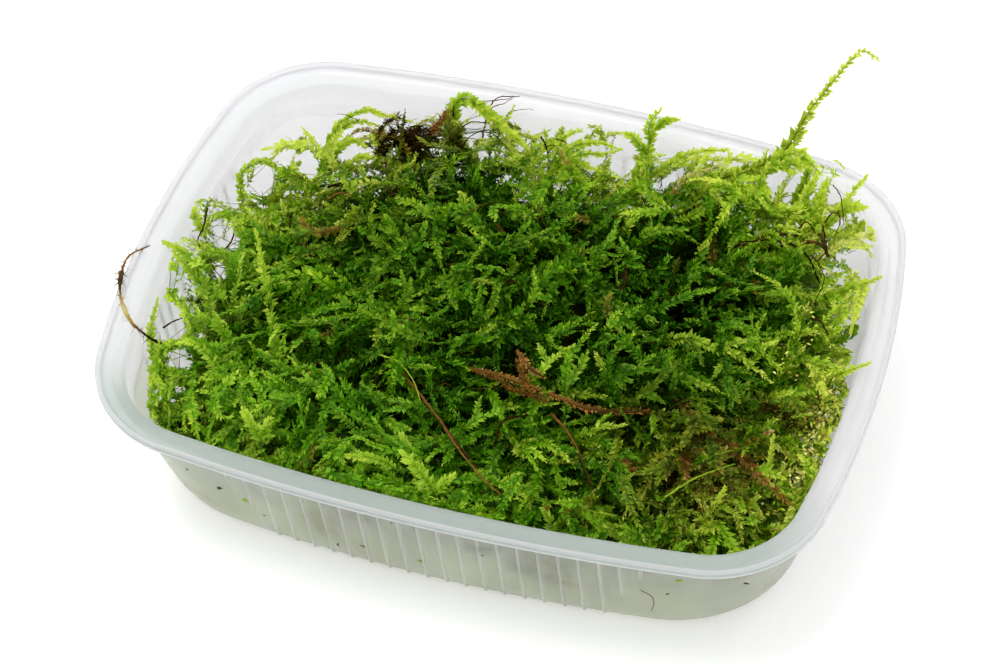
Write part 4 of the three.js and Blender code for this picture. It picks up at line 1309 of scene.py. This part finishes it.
# Fuzzy tufts of root: route, how many hairs, how long, how far spread, tone
ROOT_TUFTS = [
    ([(-20.4, 28.4, 23.4), (-19.3, 29.8, 25), (-18.6, 31.5, 25.4)], 170, 0.9, 0.15, 0.62),
    ([(-27.6, 24.6, 22.4), (-27.6, 26.2, 24.2), (-26.5, 28.5, 24.6),
      (-25.1, 28.9, 24.4)], 90, 0.9, 0.1, 0.26),
    ([(-26.8, 22.4, 22.6), (-26.2, 25.4, 24), (-24.6, 27.6, 24.4)], 120, 1.1, 0.2, 0.08),
    ([(-25.8, 22.6, 23), (-24.4, 25, 24), (-23.4, 26.6, 24.2)], 90, 1.1, 0.2, 0.04),
    ([(-45.6, -5.6, 22.4), (-44.3, -4.6, 23.4), (-43.4, -5, 22.8)], 50, 0.6, 0.1, 0.2),
    ([(0.9, -15, 25.2), (3.6, -15.8, 25.8), (5.9, -17.2, 26), (8.9, -17.6, 26),
      (11.6, -18.1, 26)], 220, 0.8, 0.1, 0.5),
    ([(5.5, -11.7, 25.6), (6.7, -14.2, 26.2), (8.1, -16.4, 26.2), (9.3, -17.7, 26)], 150, 0.8, 0.15, 0.6),
    ([(38.8, -8.6, 24), (41.4, -9.8, 24.2), (44.4, -10.6, 23)], 160, 0.8, 0.5, 0.14),
    ([(35.5, -25.5, 24), (38.5, -24.5, 24), (40, -21.5, 23.6)], 90, 0.8, 0.9, 0.35),
    ([(-31.2, 1.3, 24.2), (-29.2, -0.2, 24.4), (-28.1, -2.4, 24.2)], 70, 0.7, 0.5, 0.35),
]
# Pale and brown dying leaves on the moss by the right wall: route, how many, how long, how far spread, tone
DYING_LEAVES = [
    ([(44.4, -22, 22), (46.6, -16, 22.2), (47.4, -8, 22.2), (46.8, 1, 22.2)], 150, 0.8, 1.0, 0.9),
    ([(44, -24, 21.6), (46.4, -16, 22), (47.2, -8, 22), (46.6, 1, 22)], 200, 0.8, 1.2, 0.7),
    ([(42, -25, 21.2), (45.4, -16, 21.6), (46.4, -8, 21.6), (46, 1, 21.6)], 320, 0.9, 1.2, 0.3),
    ([(40, -2, 23.4), (42, 4, 23.8), (41, 9, 23.8)], 40, 0.7, 1.6, 0.85),
    ([(32, -28, 23.2), (38, -25, 23.4), (42, -20, 23)], 130, 0.7, 2.4, 0.42),
]
DYING_AGES = (0.25, 0.95)


# Loose leaves lie and spread flatter than all round, differ in length and tilt a little; width and lift
SCRAP_SPREAD = (1, 1, 0.4)
SCRAP_LIE = (1, 1, 0.5)
SCRAP_LENGTHS = (0.6, 1.2)
SCRAP_TILT = 0.4
SCRAP_HALF_WIDTH = 1 / 4
SCRAP_LIFT = 1 / 8
TUFT_STEP = 0.1


def scraps(route, count, length, spread, tone, rng):
    """Loose leaves that lie at all angles along a route."""
    path = smooth_route(route, TUFT_STEP)
    place = path[rng.integers(0, len(path), count)]
    centre = place + rng.normal(0, spread, (count, 3)) * SCRAP_SPREAD
    lie = unit(rng.normal(0, 1, (count, 3)) * SCRAP_LIE)
    half = lie * length / 2 * rng.uniform(*SCRAP_LENGTHS, (count, 1))
    upward = rng.normal(0, SCRAP_TILT, (count, 3)) + (0, 0, 1)
    across = unit(np.cross(half, upward)) * length * SCRAP_HALF_WIDTH
    lift = np.array([0, 0, length * SCRAP_LIFT])
    raised = centre + lift
    points = np.stack([centre - half, raised + across, raised - across, centre + half], axis=1)
    corners = points.shape[1]
    faces = np.array(PLAIN_LEAF["faces"])[None] + corners * np.arange(count)[:, None, None]
    tones = tone + rng.normal(0, TONE_SPREAD, count)
    looks = np.column_stack([tones, rng.uniform(*DYING_AGES, count), np.zeros(count)])
    return points.reshape(-1, 3), faces.reshape(-1, 3), np.repeat(looks, corners, axis=0)


# Root tufts: points along a hair, its curl, lengths, radii, thickness at the tip, and spread of tone
FUZZ_STATIONS = 5
FUZZ_CURL = 1.2
FUZZ_LENGTHS = (0.6, 1.5)
FUZZ_RADII = (0.06, 0.16)
FUZZ_TIP = 0.4
FUZZ_TONE_SPREAD = 0.06


def fuzz(route, count, length, spread, tone, rng):
    """Curled root hairs on all sides of a route."""
    path = smooth_route(route, TUFT_STEP)
    at = rng.integers(0, len(path), count)
    direction = unit(rng.normal(0, 1, (count, 3)))
    root = path[at] + rng.normal(0, spread, (count, 3))
    curl = rng.normal(0, FUZZ_CURL, (count, 3))
    step = length / FUZZ_STATIONS * rng.uniform(*FUZZ_LENGTHS, count)
    hairs = grow(root, direction, curl, FUZZ_STATIONS, step, rng)
    radii = rng.uniform(*FUZZ_RADII, (count, 1)) * np.linspace(1, FUZZ_TIP, FUZZ_STATIONS)
    tones = tone + rng.normal(0, FUZZ_TONE_SPREAD, (count, 1)) + np.zeros(FUZZ_STATIONS)
    return tubes(hairs, radii, np.repeat(unit(SHOOT_FACE), count, axis=0), tones, np.ones(count))


# Twigs: spacing of points, waver, thickness at the tip, unevenness and spread of tone
TWIG_STEP = 0.3
TWIG_WAVER = 0.03
TWIG_TIP = 0.55
TWIG_UNEVEN = 0.15
TWIG_TONE_SPREAD = 0.05


def make_twigs():
    rng = np.random.default_rng(SEEDS["twigs"])
    material = leaf_material("twig_bark", through=0.0)
    face = unit(SHOOT_FACE)
    parts = []
    for route, radius, tone in TWIGS:
        path = smooth_route(route, TWIG_STEP)[None]
        path = path + rng.normal(0, TWIG_WAVER, path.shape)
        size = path.shape[:2]
        radii = radius * np.linspace(1, TWIG_TIP, size[1])[None] * rng.normal(1, TWIG_UNEVEN, size)
        tones = tone + rng.normal(0, TWIG_TONE_SPREAD, size)
        age = np.array([LIVING_TWIG_AGE if tone > LIVING_TWIG_TONE else 1])
        parts.append(tubes(path, radii, face, tones, age, sides=5))
    for tuft in ROOT_TUFTS:
        parts.append(fuzz(*tuft, rng))
    for bits in DYING_LEAVES:
        parts.append(scraps(*bits, rng))
    points, faces, marks = join(parts)
    twigs = add_mesh("dark_twigs", points, faces, material, marks)
    place_piece(twigs, "moss_cushion")


# Root hairs: points along each, how far they are drawn to the edge, how they grow, and their looks
HAIR_STATIONS = 12
HAIR_PULL = 0.9
HAIR_PULL_FROM = 0.5
HAIR_EDGE = 0.95
HAIR_HEADING_SPREAD = 1.0
HAIR_PITCH = (0.4, 0.4)
HAIR_CURL = 0.8
HAIR_DROOP = 0.5
HAIR_ROOT_DROP = 0.5
HAIR_STEP = (0.25, 0.6)
HAIR_SHARE_AROUND = 0.8
HAIR_RADII = (0.07, 0.03)
HAIR_TONES = (0.0, 0.5)


def make_hairs():
    """Thin dark root hairs that stick out of the tangle, most of them round the windows."""
    rng = np.random.default_rng(SEEDS["hairs"])
    roots = scatter_roots(HAIRS, rng)
    count = len(roots)
    share = moss_share(*roots.T)
    pull = rng.uniform(0, HAIR_PULL, count) * (share > HAIR_PULL_FROM)
    roots = roots * (1 + pull * (HAIR_EDGE / np.maximum(share, HAIR_PULL_FROM) - 1))[:, None]
    x, y = roots.T
    heading = np.arctan2(y, x) + rng.normal(0, HAIR_HEADING_SPREAD, count)
    direction = toward(heading, rng.normal(*HAIR_PITCH, count))
    turn = rng.normal(0, HAIR_CURL, (count, 3)) - np.array([0, 0, HAIR_DROOP])
    start = np.column_stack([roots, moss_top(x, y) - HAIR_ROOT_DROP])
    paths = grow(start, direction, turn, HAIR_STATIONS, rng.uniform(*HAIR_STEP, count), rng)
    around = rng.random(count) < HAIR_SHARE_AROUND
    paths[around] = open_windows(paths[around])
    paths = keep_inside(paths)
    size = (count, HAIR_STATIONS)
    face = np.repeat(SHOOT_FACE, count, axis=0)
    radii = np.broadcast_to(np.linspace(*HAIR_RADII, HAIR_STATIONS), size)
    tone = np.broadcast_to(rng.uniform(*HAIR_TONES, count)[:, None], size)
    points, faces, marks = tubes(paths, radii, face, tone, np.ones(count))
    hairs = add_mesh("root_hairs", points, faces, leaf_material("root_hair", through=0.0), marks)
    place_piece(hairs, "moss_cushion")


# Separate shoots and stems

# Points on each span of a curve before they are spaced evenly, and the fewest points of a path
SPAN_POINTS = 40
FEWEST_POINTS = 3


def smooth_route(route, step):
    """Evenly spaced points on a Catmull-Rom curve through the route."""
    route = np.asarray(route, float)
    ends = np.concatenate([[2 * route[0] - route[1]], route, [2 * route[-1] - route[-2]]])
    t = np.linspace(0, 1, SPAN_POINTS, endpoint=False)[:, None]
    pieces = []
    for a, b, c, d in zip(ends, ends[1:], ends[2:], ends[3:]):
        pieces.append(0.5 * (2 * b + (c - a) * t + (2 * a - 5 * b + 4 * c - d) * t ** 2
                             + (3 * b - a - 3 * c + d) * t ** 3))
    dense = np.concatenate(pieces + [route[-1:]])
    lengths = np.concatenate([[0], np.cumsum(np.linalg.norm(np.diff(dense, axis=0), axis=1))])
    places = np.linspace(0, lengths[-1], max(FEWEST_POINTS, round(lengths[-1] / step) + 1))
    return np.stack([np.interp(places, lengths, dense[:, i]) for i in range(3)], axis=1)


# The way that shoots and stems face, up and a little toward the camera
SHOOT_FACE = np.array([[0.1, -0.5, 0.85]])


# Short side shoots that make some of the shoots bushy, by shoot: route, half width
SPRIGS = {
    "back_fork_shoot": [
        ([(-1.6, 27.2, 22), (2.4, 28.9, 24.8), (5.9, 29.9, 25), (7.8, 31.3, 25)], 0.75),
        ([(-1.6, 27, 22.4), (1.9, 27.9, 24), (5.5, 27.6, 23.6)], 0.75),
        ([(-1.6, 28, 22.6), (-0.7, 31, 25.4), (1.2, 32.9, 25.6)], 0.8),
    ],
    "back_left_arch_shoot": [
        ([(-35.8, 22.4, 20.6), (-33.8, 25.7, 23), (-31.5, 27.5, 23.6), (-29, 28.2, 23)], 0.8),
        ([(-35, 20.6, 19.6), (-32.8, 22.7, 22.4), (-31.4, 24.2, 23), (-29.8, 24, 22.6)], 0.9),
        ([(-34.6, 22.8, 20), (-32.6, 24.6, 21.8), (-30.2, 25.4, 22)], 0.9),
        ([(-31.8, 18.6, 20.4), (-29.5, 21.3, 22.6), (-27.4, 21.7, 22.8)], 0.9),
        ([(-27.4, 21.2, 21), (-26.8, 23.6, 22.8), (-28.8, 25.8, 23)], 0.9),
    ],
    "long_shoot": [
        ([(31.5, 35.5, 26.8), (32.4, 37, 28), (33.5, 38.9, 28.6)], 0.8),
        ([(30.5, 33.5, 26), (32.4, 33.2, 27.6), (34.6, 33, 27.4)], 1.1),
        ([(29.5, 32.8, 25.8), (31.6, 34.2, 27.8), (34, 35.6, 28)], 1.1),
        ([(28.5, 31.8, 25.4), (31, 32.4, 27.2), (33.4, 31.9, 27)], 1.1),
        ([(33, 34.4, 27.2), (35, 33.9, 28), (37.3, 32.4, 27.4)], 0.8),
    ],
    "back_curled_shoot": [
        ([(11.6, 33.5, 25), (11, 35.6, 27), (12, 37.6, 28.2)], 0.9),
        ([(11.4, 32.5, 24), (9.4, 33.2, 26), (8, 33.4, 26.4)], 0.9),
        ([(12, 35.3, 26.5), (13.4, 36, 28.2), (15, 36.6, 28.2)], 0.8),
    ],
    "right_pale_shoot": [
        ([(37, 27, 22.5), (36, 29.5, 25), (37, 31.5, 27.5)], 1.0),
        ([(36.6, 26, 22), (38.2, 28.4, 25), (38.2, 30.6, 26.8)], 1.0),
    ],
    "right_corner_shoot": [
        ([(41, 27.5, 24.5), (42.6, 28.4, 26), (44.4, 28.6, 26.2)], 1.1),
    ],
    "left_tip_shoot": [
        ([(-43, -8, 22), (-46, -5, 24), (-50, -3.6, 24.2)], 1.0),
    ],
    "front_left_shoot": [
        ([(-24, -30.5, 20), (-26.5, -30.8, 22.4), (-25, -32.2, 22.6)], 1.0),
        ([(-24.1, -33.4, 22.8), (-25.8, -32.4, 24.8), (-27.7, -31, 25.8)], 1.05),
        ([(-24.1, -33, 22.8), (-24.2, -32.2, 24.6), (-24, -30.9, 25.2)], 0.9),
    ],
    "front_middle_shoot": [
        ([(-2, -31.6, 20.5), (-2.4, -33, 22.4), (-1.5, -34.4, 22.4)], 1.0),
        ([(0.7, -34.6, 22), (-1.5, -33.6, 24.6), (-4.5, -32, 26)], 1.15),
        ([(0.7, -34.6, 22), (1.7, -34.2, 24.2), (2.9, -33.2, 25.2)], 0.95),
        ([(-5.3, -32.9, 23.4), (-8, -33, 24.8), (-11.9, -33.6, 24.8)], 0.9),
    ],
    "front_right_shoot": [
        ([(35.5, -28.5, 19.5), (37.5, -29.4, 22), (36, -31, 22.4)], 1.0),
    ],
}
# Shoots: spacing of leaves, turns of their leaf rows, looks as first and last tone and age, and tapers
SHOOT_LEAF_STEP = 0.36
SHOOT_TURN = (0, 60)
SHOOT_FACE_SPREAD = 0.15
SHOOT_LEAF_REACH = 0.85
SHOOT_LEAF_LENGTH = 1.15
SHOOT_LEAF_WIDTH = 0.55
SHOOT_STEM_RADIUS = 0.12
SHOOT_STEM_DARKER = 0.1
LONG_SHOOT_HALF_WIDTH = 1.3
LONG_SHOOT_ANGLES = (54.0, 30.0)
LONG_SHOOT_LEAF_STEP = 0.85
LONG_SHOOT_TAPER = (0.85, 1.0, 0.95, 0.5)
LONG_SHOOT_TURN = (0, 50, 100)
LONG_SHOOT_LOOK = (0.66, 0.84, 0.3)
SHOOT_LOOK = (0.72, 0.95, 0.06)
SHOOT_TAPER = (0.8, 1.05, 1.0, 0.6)


def leafy_shoot(route, half_width, step, taper, rng, turn=0, angles=LEAF_ANGLES, look=SHOOT_LOOK):
    """A shoot with two rows of leaves along a route."""
    path = smooth_route(route, step)[None]
    first, last, age = look
    tone = np.linspace(first, last, path.shape[1])[None]
    age = np.array([age])
    face = unit(SHOOT_FACE + rng.normal(0, SHOOT_FACE_SPREAD, (1, 3)))
    if turn:
        across = unit(np.cross(face, path[:, -1] - path[:, 0]))
        face = unit(face * math.cos(math.radians(turn)) + across * math.sin(math.radians(turn)))
    length = np.array([half_width * SHOOT_LEAF_LENGTH])
    blades = leaf_blades(path, face, length, tone, age, rng, FINE_LEAF, taper, SHOOT_LEAF_WIDTH, angles)
    return [blades, stem_parts(path, face, tone - SHOOT_STEM_DARKER, age, SHOOT_STEM_RADIUS, stride=1)]


def furry_shoot(route, half_width, rng):
    """A shoot with leaf rows at more than one turn round its stem."""
    parts = []
    for turn in SHOOT_TURN:
        parts += leafy_shoot(route, half_width, SHOOT_LEAF_STEP, SHOOT_TAPER, rng, turn)
    return parts


def long_shoot(route, rng):
    """The tall shoot, sparser and with three turns of leaf rows."""
    parts = []
    for turn in LONG_SHOOT_TURN:
        parts += leafy_shoot(route, LONG_SHOOT_HALF_WIDTH, LONG_SHOOT_LEAF_STEP, LONG_SHOOT_TAPER, rng,
                             turn, LONG_SHOOT_ANGLES, LONG_SHOOT_LOOK)
    return parts


def make_shoots():
    rng = np.random.default_rng(SEEDS["shoots"])
    material = leaf_material("pale_shoot_leaves", through=0.5)
    for name, route, half_width in SHOOTS:
        if name == "long_shoot":
            parts = long_shoot(route, rng)
        else:
            parts = furry_shoot(route, half_width * SHOOT_LEAF_REACH, rng)
        for sprig, sprig_width in SPRIGS.get(name, []):
            parts += furry_shoot(sprig, sprig_width, rng)
        points, faces, marks = join(parts)
        piece = add_mesh(name + "_leafy", points, faces, material, marks, smooth=False)
        place_piece(piece, name)


def along(path, stops):
    """Values that follow stops, given as shares of the path and values, for each of its stations."""
    shares, values = zip(*stops)
    return np.interp(np.linspace(0, 1, path.shape[1]), shares, values)[None]


# Thread that hangs over the rim: radius and tone by share of its length
RIM_THREAD_RADII = [(0, 0.3), (0.2, 0.16), (0.3, 0.2), (0.36, 0.3), (0.48, 0.26), (0.58, 0.16), (0.63, 0.26),
                    (0.66, 0.42), (0.68, 0.3), (0.7, 0.44), (0.74, 0.2), (0.8, 0.17), (1, 0.09)]
RIM_THREAD_TONES = [(0, 0.12), (0.22, 0.2), (0.32, 0.7), (0.4, 0.9), (0.5, 0.78), (0.58, 0.35), (0.66, 0.3),
                    (0.72, 0.42), (0.78, 0.6), (0.9, 0.58), (1, 0.4)]
BRISTLES = 120
BRISTLE_CROWDING = 1.5
BRISTLE_CURL = 0.3
BRISTLE_STEP = (0.2, 0.6)
BRISTLE_RADII = [0.06, 0.05, 0.04, 0.02]
BRISTLE_PALER = 0.15
# The other stems: tone by share of length, which have dead leaves, spacing, waver, tip, unevenness, leaves
STEM_TONES = [(0, 0.52), (0.4, 0.46), (0.6, 0.3), (1, 0.24)]
LEAFY_STEMS = ("brown_centre_stem", "brown_side_twig")
DEAD_STEM_STEP = 0.35
DEAD_STEM_WAVER = 0.04
DEAD_STEM_TIP = 0.5
DEAD_STEM_UNEVEN = 0.12
DARK_STEM_DARKER = 0.2
DEAD_LEAF_LENGTH = 0.75
DEAD_LEAF_PALER = 0.12


def thread_bristles(path, radii, tone, rng):
    """Short bristles round a thread, most of them round its knot."""
    weights = (radii[0] / radii[0].sum()) ** BRISTLE_CROWDING
    at = rng.choice(path.shape[1], BRISTLES, p=weights / weights.sum())
    direction = unit(rng.normal(0, 1, (BRISTLES, 3)))
    stations = len(BRISTLE_RADII)
    curl = rng.normal(0, BRISTLE_CURL, (BRISTLES, 3))
    bristles = grow(path[0, at], direction, curl, stations, rng.uniform(*BRISTLE_STEP, BRISTLES), rng)
    widths = np.broadcast_to(BRISTLE_RADII, (BRISTLES, stations))
    tones = np.broadcast_to((tone[0, at] + BRISTLE_PALER)[:, None], (BRISTLES, stations))
    return tubes(bristles, widths, np.repeat(SHOOT_FACE, BRISTLES, axis=0), tones, np.ones(BRISTLES))


def stem_tone(path, name):
    if name == "rim_root_thread":
        return along(path, RIM_THREAD_TONES)
    dark = "dark" in name or "root" in name
    return along(path, STEM_TONES) - DARK_STEM_DARKER * dark


def make_stems():
    rng = np.random.default_rng(SEEDS["stems"])
    material = leaf_material("dead_stem_bark", through=0.05)
    face = unit(SHOOT_FACE)
    for name, route, radius in STEMS:
        path = smooth_route(route, DEAD_STEM_STEP)[None]
        path = path + rng.normal(0, DEAD_STEM_WAVER, path.shape)
        at_rim = name == "rim_root_thread"
        radii = along(path, RIM_THREAD_RADII if at_rim else [(0, radius), (1, radius * DEAD_STEM_TIP)])
        radii = radii * rng.normal(1, DEAD_STEM_UNEVEN, path.shape[:2])
        tone = stem_tone(path, name)
        parts = [tubes(path, radii, face, tone, np.ones(1), sides=6)]
        if name in LEAFY_STEMS:
            length = np.array([DEAD_LEAF_LENGTH])
            parts.append(leaf_blades(path, face, length, tone + DEAD_LEAF_PALER, np.ones(1), rng))
        if at_rim:
            parts.append(thread_bristles(path, radii, tone, rng))
        points, faces, marks = join(parts)
        piece = add_mesh(name + "_bark", points, faces, material, marks)
        place_piece(piece, name)


# Dark root tangle at the back, as in the solids
TANGLE_CENTRE = np.array([-22.5, 27.0, 22.6])
TANGLE_SIZE = np.array([9.0, 4.6, 3.4])
TANGLE_TURN = 30.0
TANGLE_THREADS = 150
TANGLE_STATIONS = 12
# Where its threads start, how they curl and how long, how far they may reach, their radii and looks
TANGLE_STARTS = (0.2, 0.85)
TANGLE_CURL = 1.6
TANGLE_STEP = (0.2, 0.5)
TANGLE_REACH = 1.1
TANGLE_RADII = (0.07, 0.2)
TANGLE_TIP = 0.5
TANGLE_TONES = (0.02, 0.35)
TANGLE_ORANGE = 0.3
TANGLE_ORANGE_RIGHT = (1, 3)
TANGLE_ORANGE_SHARE = 0.6
TANGLE_GREENER = 0.5
TANGLE_GREENER_RIGHT = (0, 3)


def make_root_tangle():
    rng = np.random.default_rng(SEEDS["root_knot"])
    count = TANGLE_THREADS
    half = TANGLE_SIZE / 2
    start = unit(rng.normal(0, 1, (count, 3))) * rng.uniform(*TANGLE_STARTS, (count, 1)) * half
    direction = unit(rng.normal(0, 1, (count, 3)) * TANGLE_SIZE)
    curl = rng.normal(0, TANGLE_CURL, (count, 3))
    paths = grow(start, direction, curl, TANGLE_STATIONS, rng.uniform(*TANGLE_STEP, count), rng)
    reach = np.linalg.norm(paths / (half * TANGLE_REACH), axis=-1, keepdims=True)
    paths = paths / np.maximum(reach, 1)
    angle = math.radians(TANGLE_TURN)
    across, along_y = math.cos(angle), math.sin(angle)
    spin = np.array([[across, along_y, 0], [-along_y, across, 0], [0, 0, 1]])
    paths = paths @ spin + TANGLE_CENTRE
    radii = rng.uniform(*TANGLE_RADII, (count, 1)) * np.linspace(1, TANGLE_TIP, TANGLE_STATIONS)
    right = paths[:, TANGLE_STATIONS // 2, 0] - TANGLE_CENTRE[0]
    orange = rise(right, *TANGLE_ORANGE_RIGHT) * (rng.random(count) < TANGLE_ORANGE_SHARE)
    tone = rng.uniform(*TANGLE_TONES, count) + TANGLE_ORANGE * orange
    tone = np.broadcast_to(tone[:, None], (count, TANGLE_STATIONS))
    face = np.repeat(unit(SHOOT_FACE), count, axis=0)
    age = 1 - TANGLE_GREENER * rise(right, *TANGLE_GREENER_RIGHT) * (orange == 0)
    points, faces, marks = tubes(paths, radii, face, tone, age, sides=4)
    material = leaf_material("root_tangle", through=0.0)
    tangle = add_mesh("back_root_tangle_threads", points, faces, material, marks)
    place_piece(tangle, "back_root_tangle")


# Stage

FLOOR_COLOUR = (0.97, 0.97, 0.97, 1)
FLOOR_GLOW = 0.2
FLOOR_HALF = 3000.0
FLOOR_DROP = 0.05
WORLD_STRENGTH = 0.85
# Lamps: name, place, size, power
LAMPS = [("key", (-250, -60, 900), 450, 3.4), ("fill", (300, -800, 500), 500, 1.2),
         ("sparkle_left", (-500, 300, 900), 60, 0.5), ("sparkle_right", (500, 500, 900), 60, 0.4)]


def make_floor():
    material, nodes, links = new_material("pale_floor")
    face = add_node(nodes, "BsdfDiffuse", Color=FLOOR_COLOUR)
    glow = add_node(nodes, "Emission", Strength=FLOOR_GLOW)
    both = add_node(nodes, "AddShader")
    out = add_node(nodes, "OutputMaterial")
    wire(links, [(face, 0, both, 0), (glow, 0, both, 1), (both, 0, out, "Surface")])
    half = FLOOR_HALF
    points = [(-half, -half, -FLOOR_DROP), (half, -half, -FLOOR_DROP), (half, half, -FLOOR_DROP),
              (-half, half, -FLOOR_DROP)]
    floor = add_mesh("floor", points, [(0, 1, 2, 3)], material, smooth=False)


def make_lights():
    world = bpy.data.worlds.new("studio")
    world.use_nodes = True
    background = world.node_tree.nodes["Background"]
    background.inputs["Color"].default_value = (1, 1, 1, 1)
    background.inputs["Strength"].default_value = WORLD_STRENGTH
    bpy.context.scene.world = world
    for name, place, size, power in LAMPS:
        light = bpy.data.lights.new(name, "AREA")
        light.size = size * MM
        light.energy = power
        lamp = bpy.data.objects.new(name, light)
        lamp.location = Vector(place) * MM
        lamp.rotation_euler = (-lamp.location).to_track_quat("-Z", "Y").to_euler()
        bpy.context.scene.collection.objects.link(lamp)


def make_camera():
    roll = math.radians(CAMERA_ROLL)
    azimuth = math.radians(CAMERA_AZIMUTH)
    back = Vector(SIGHT)
    level = Vector((math.cos(azimuth), math.sin(azimuth), 0))
    upright = back.cross(level)
    right = level * math.cos(roll) + upright * math.sin(roll)
    up = upright * math.cos(roll) - level * math.sin(roll)
    data = bpy.data.cameras.new("camera")
    data.lens = LENS
    data.sensor_width = SENSOR
    camera = bpy.data.objects.new("camera", data)
    turn = Matrix((right, up, back)).transposed().to_4x4()
    camera.matrix_world = Matrix.Translation((Vector(CAMERA_TARGET) + back * CAMERA_DISTANCE) * MM) @ turn
    bpy.context.scene.collection.objects.link(camera)
    bpy.context.scene.camera = camera


make_camera()
make_lights()
make_floor()
make_tub()
make_flecks()
make_core()
make_tangle()
make_hairs()
make_twigs()
make_shoots()
make_stems()
make_root_tangle()
bpy.context.scene.view_settings.view_transform = "Standard"
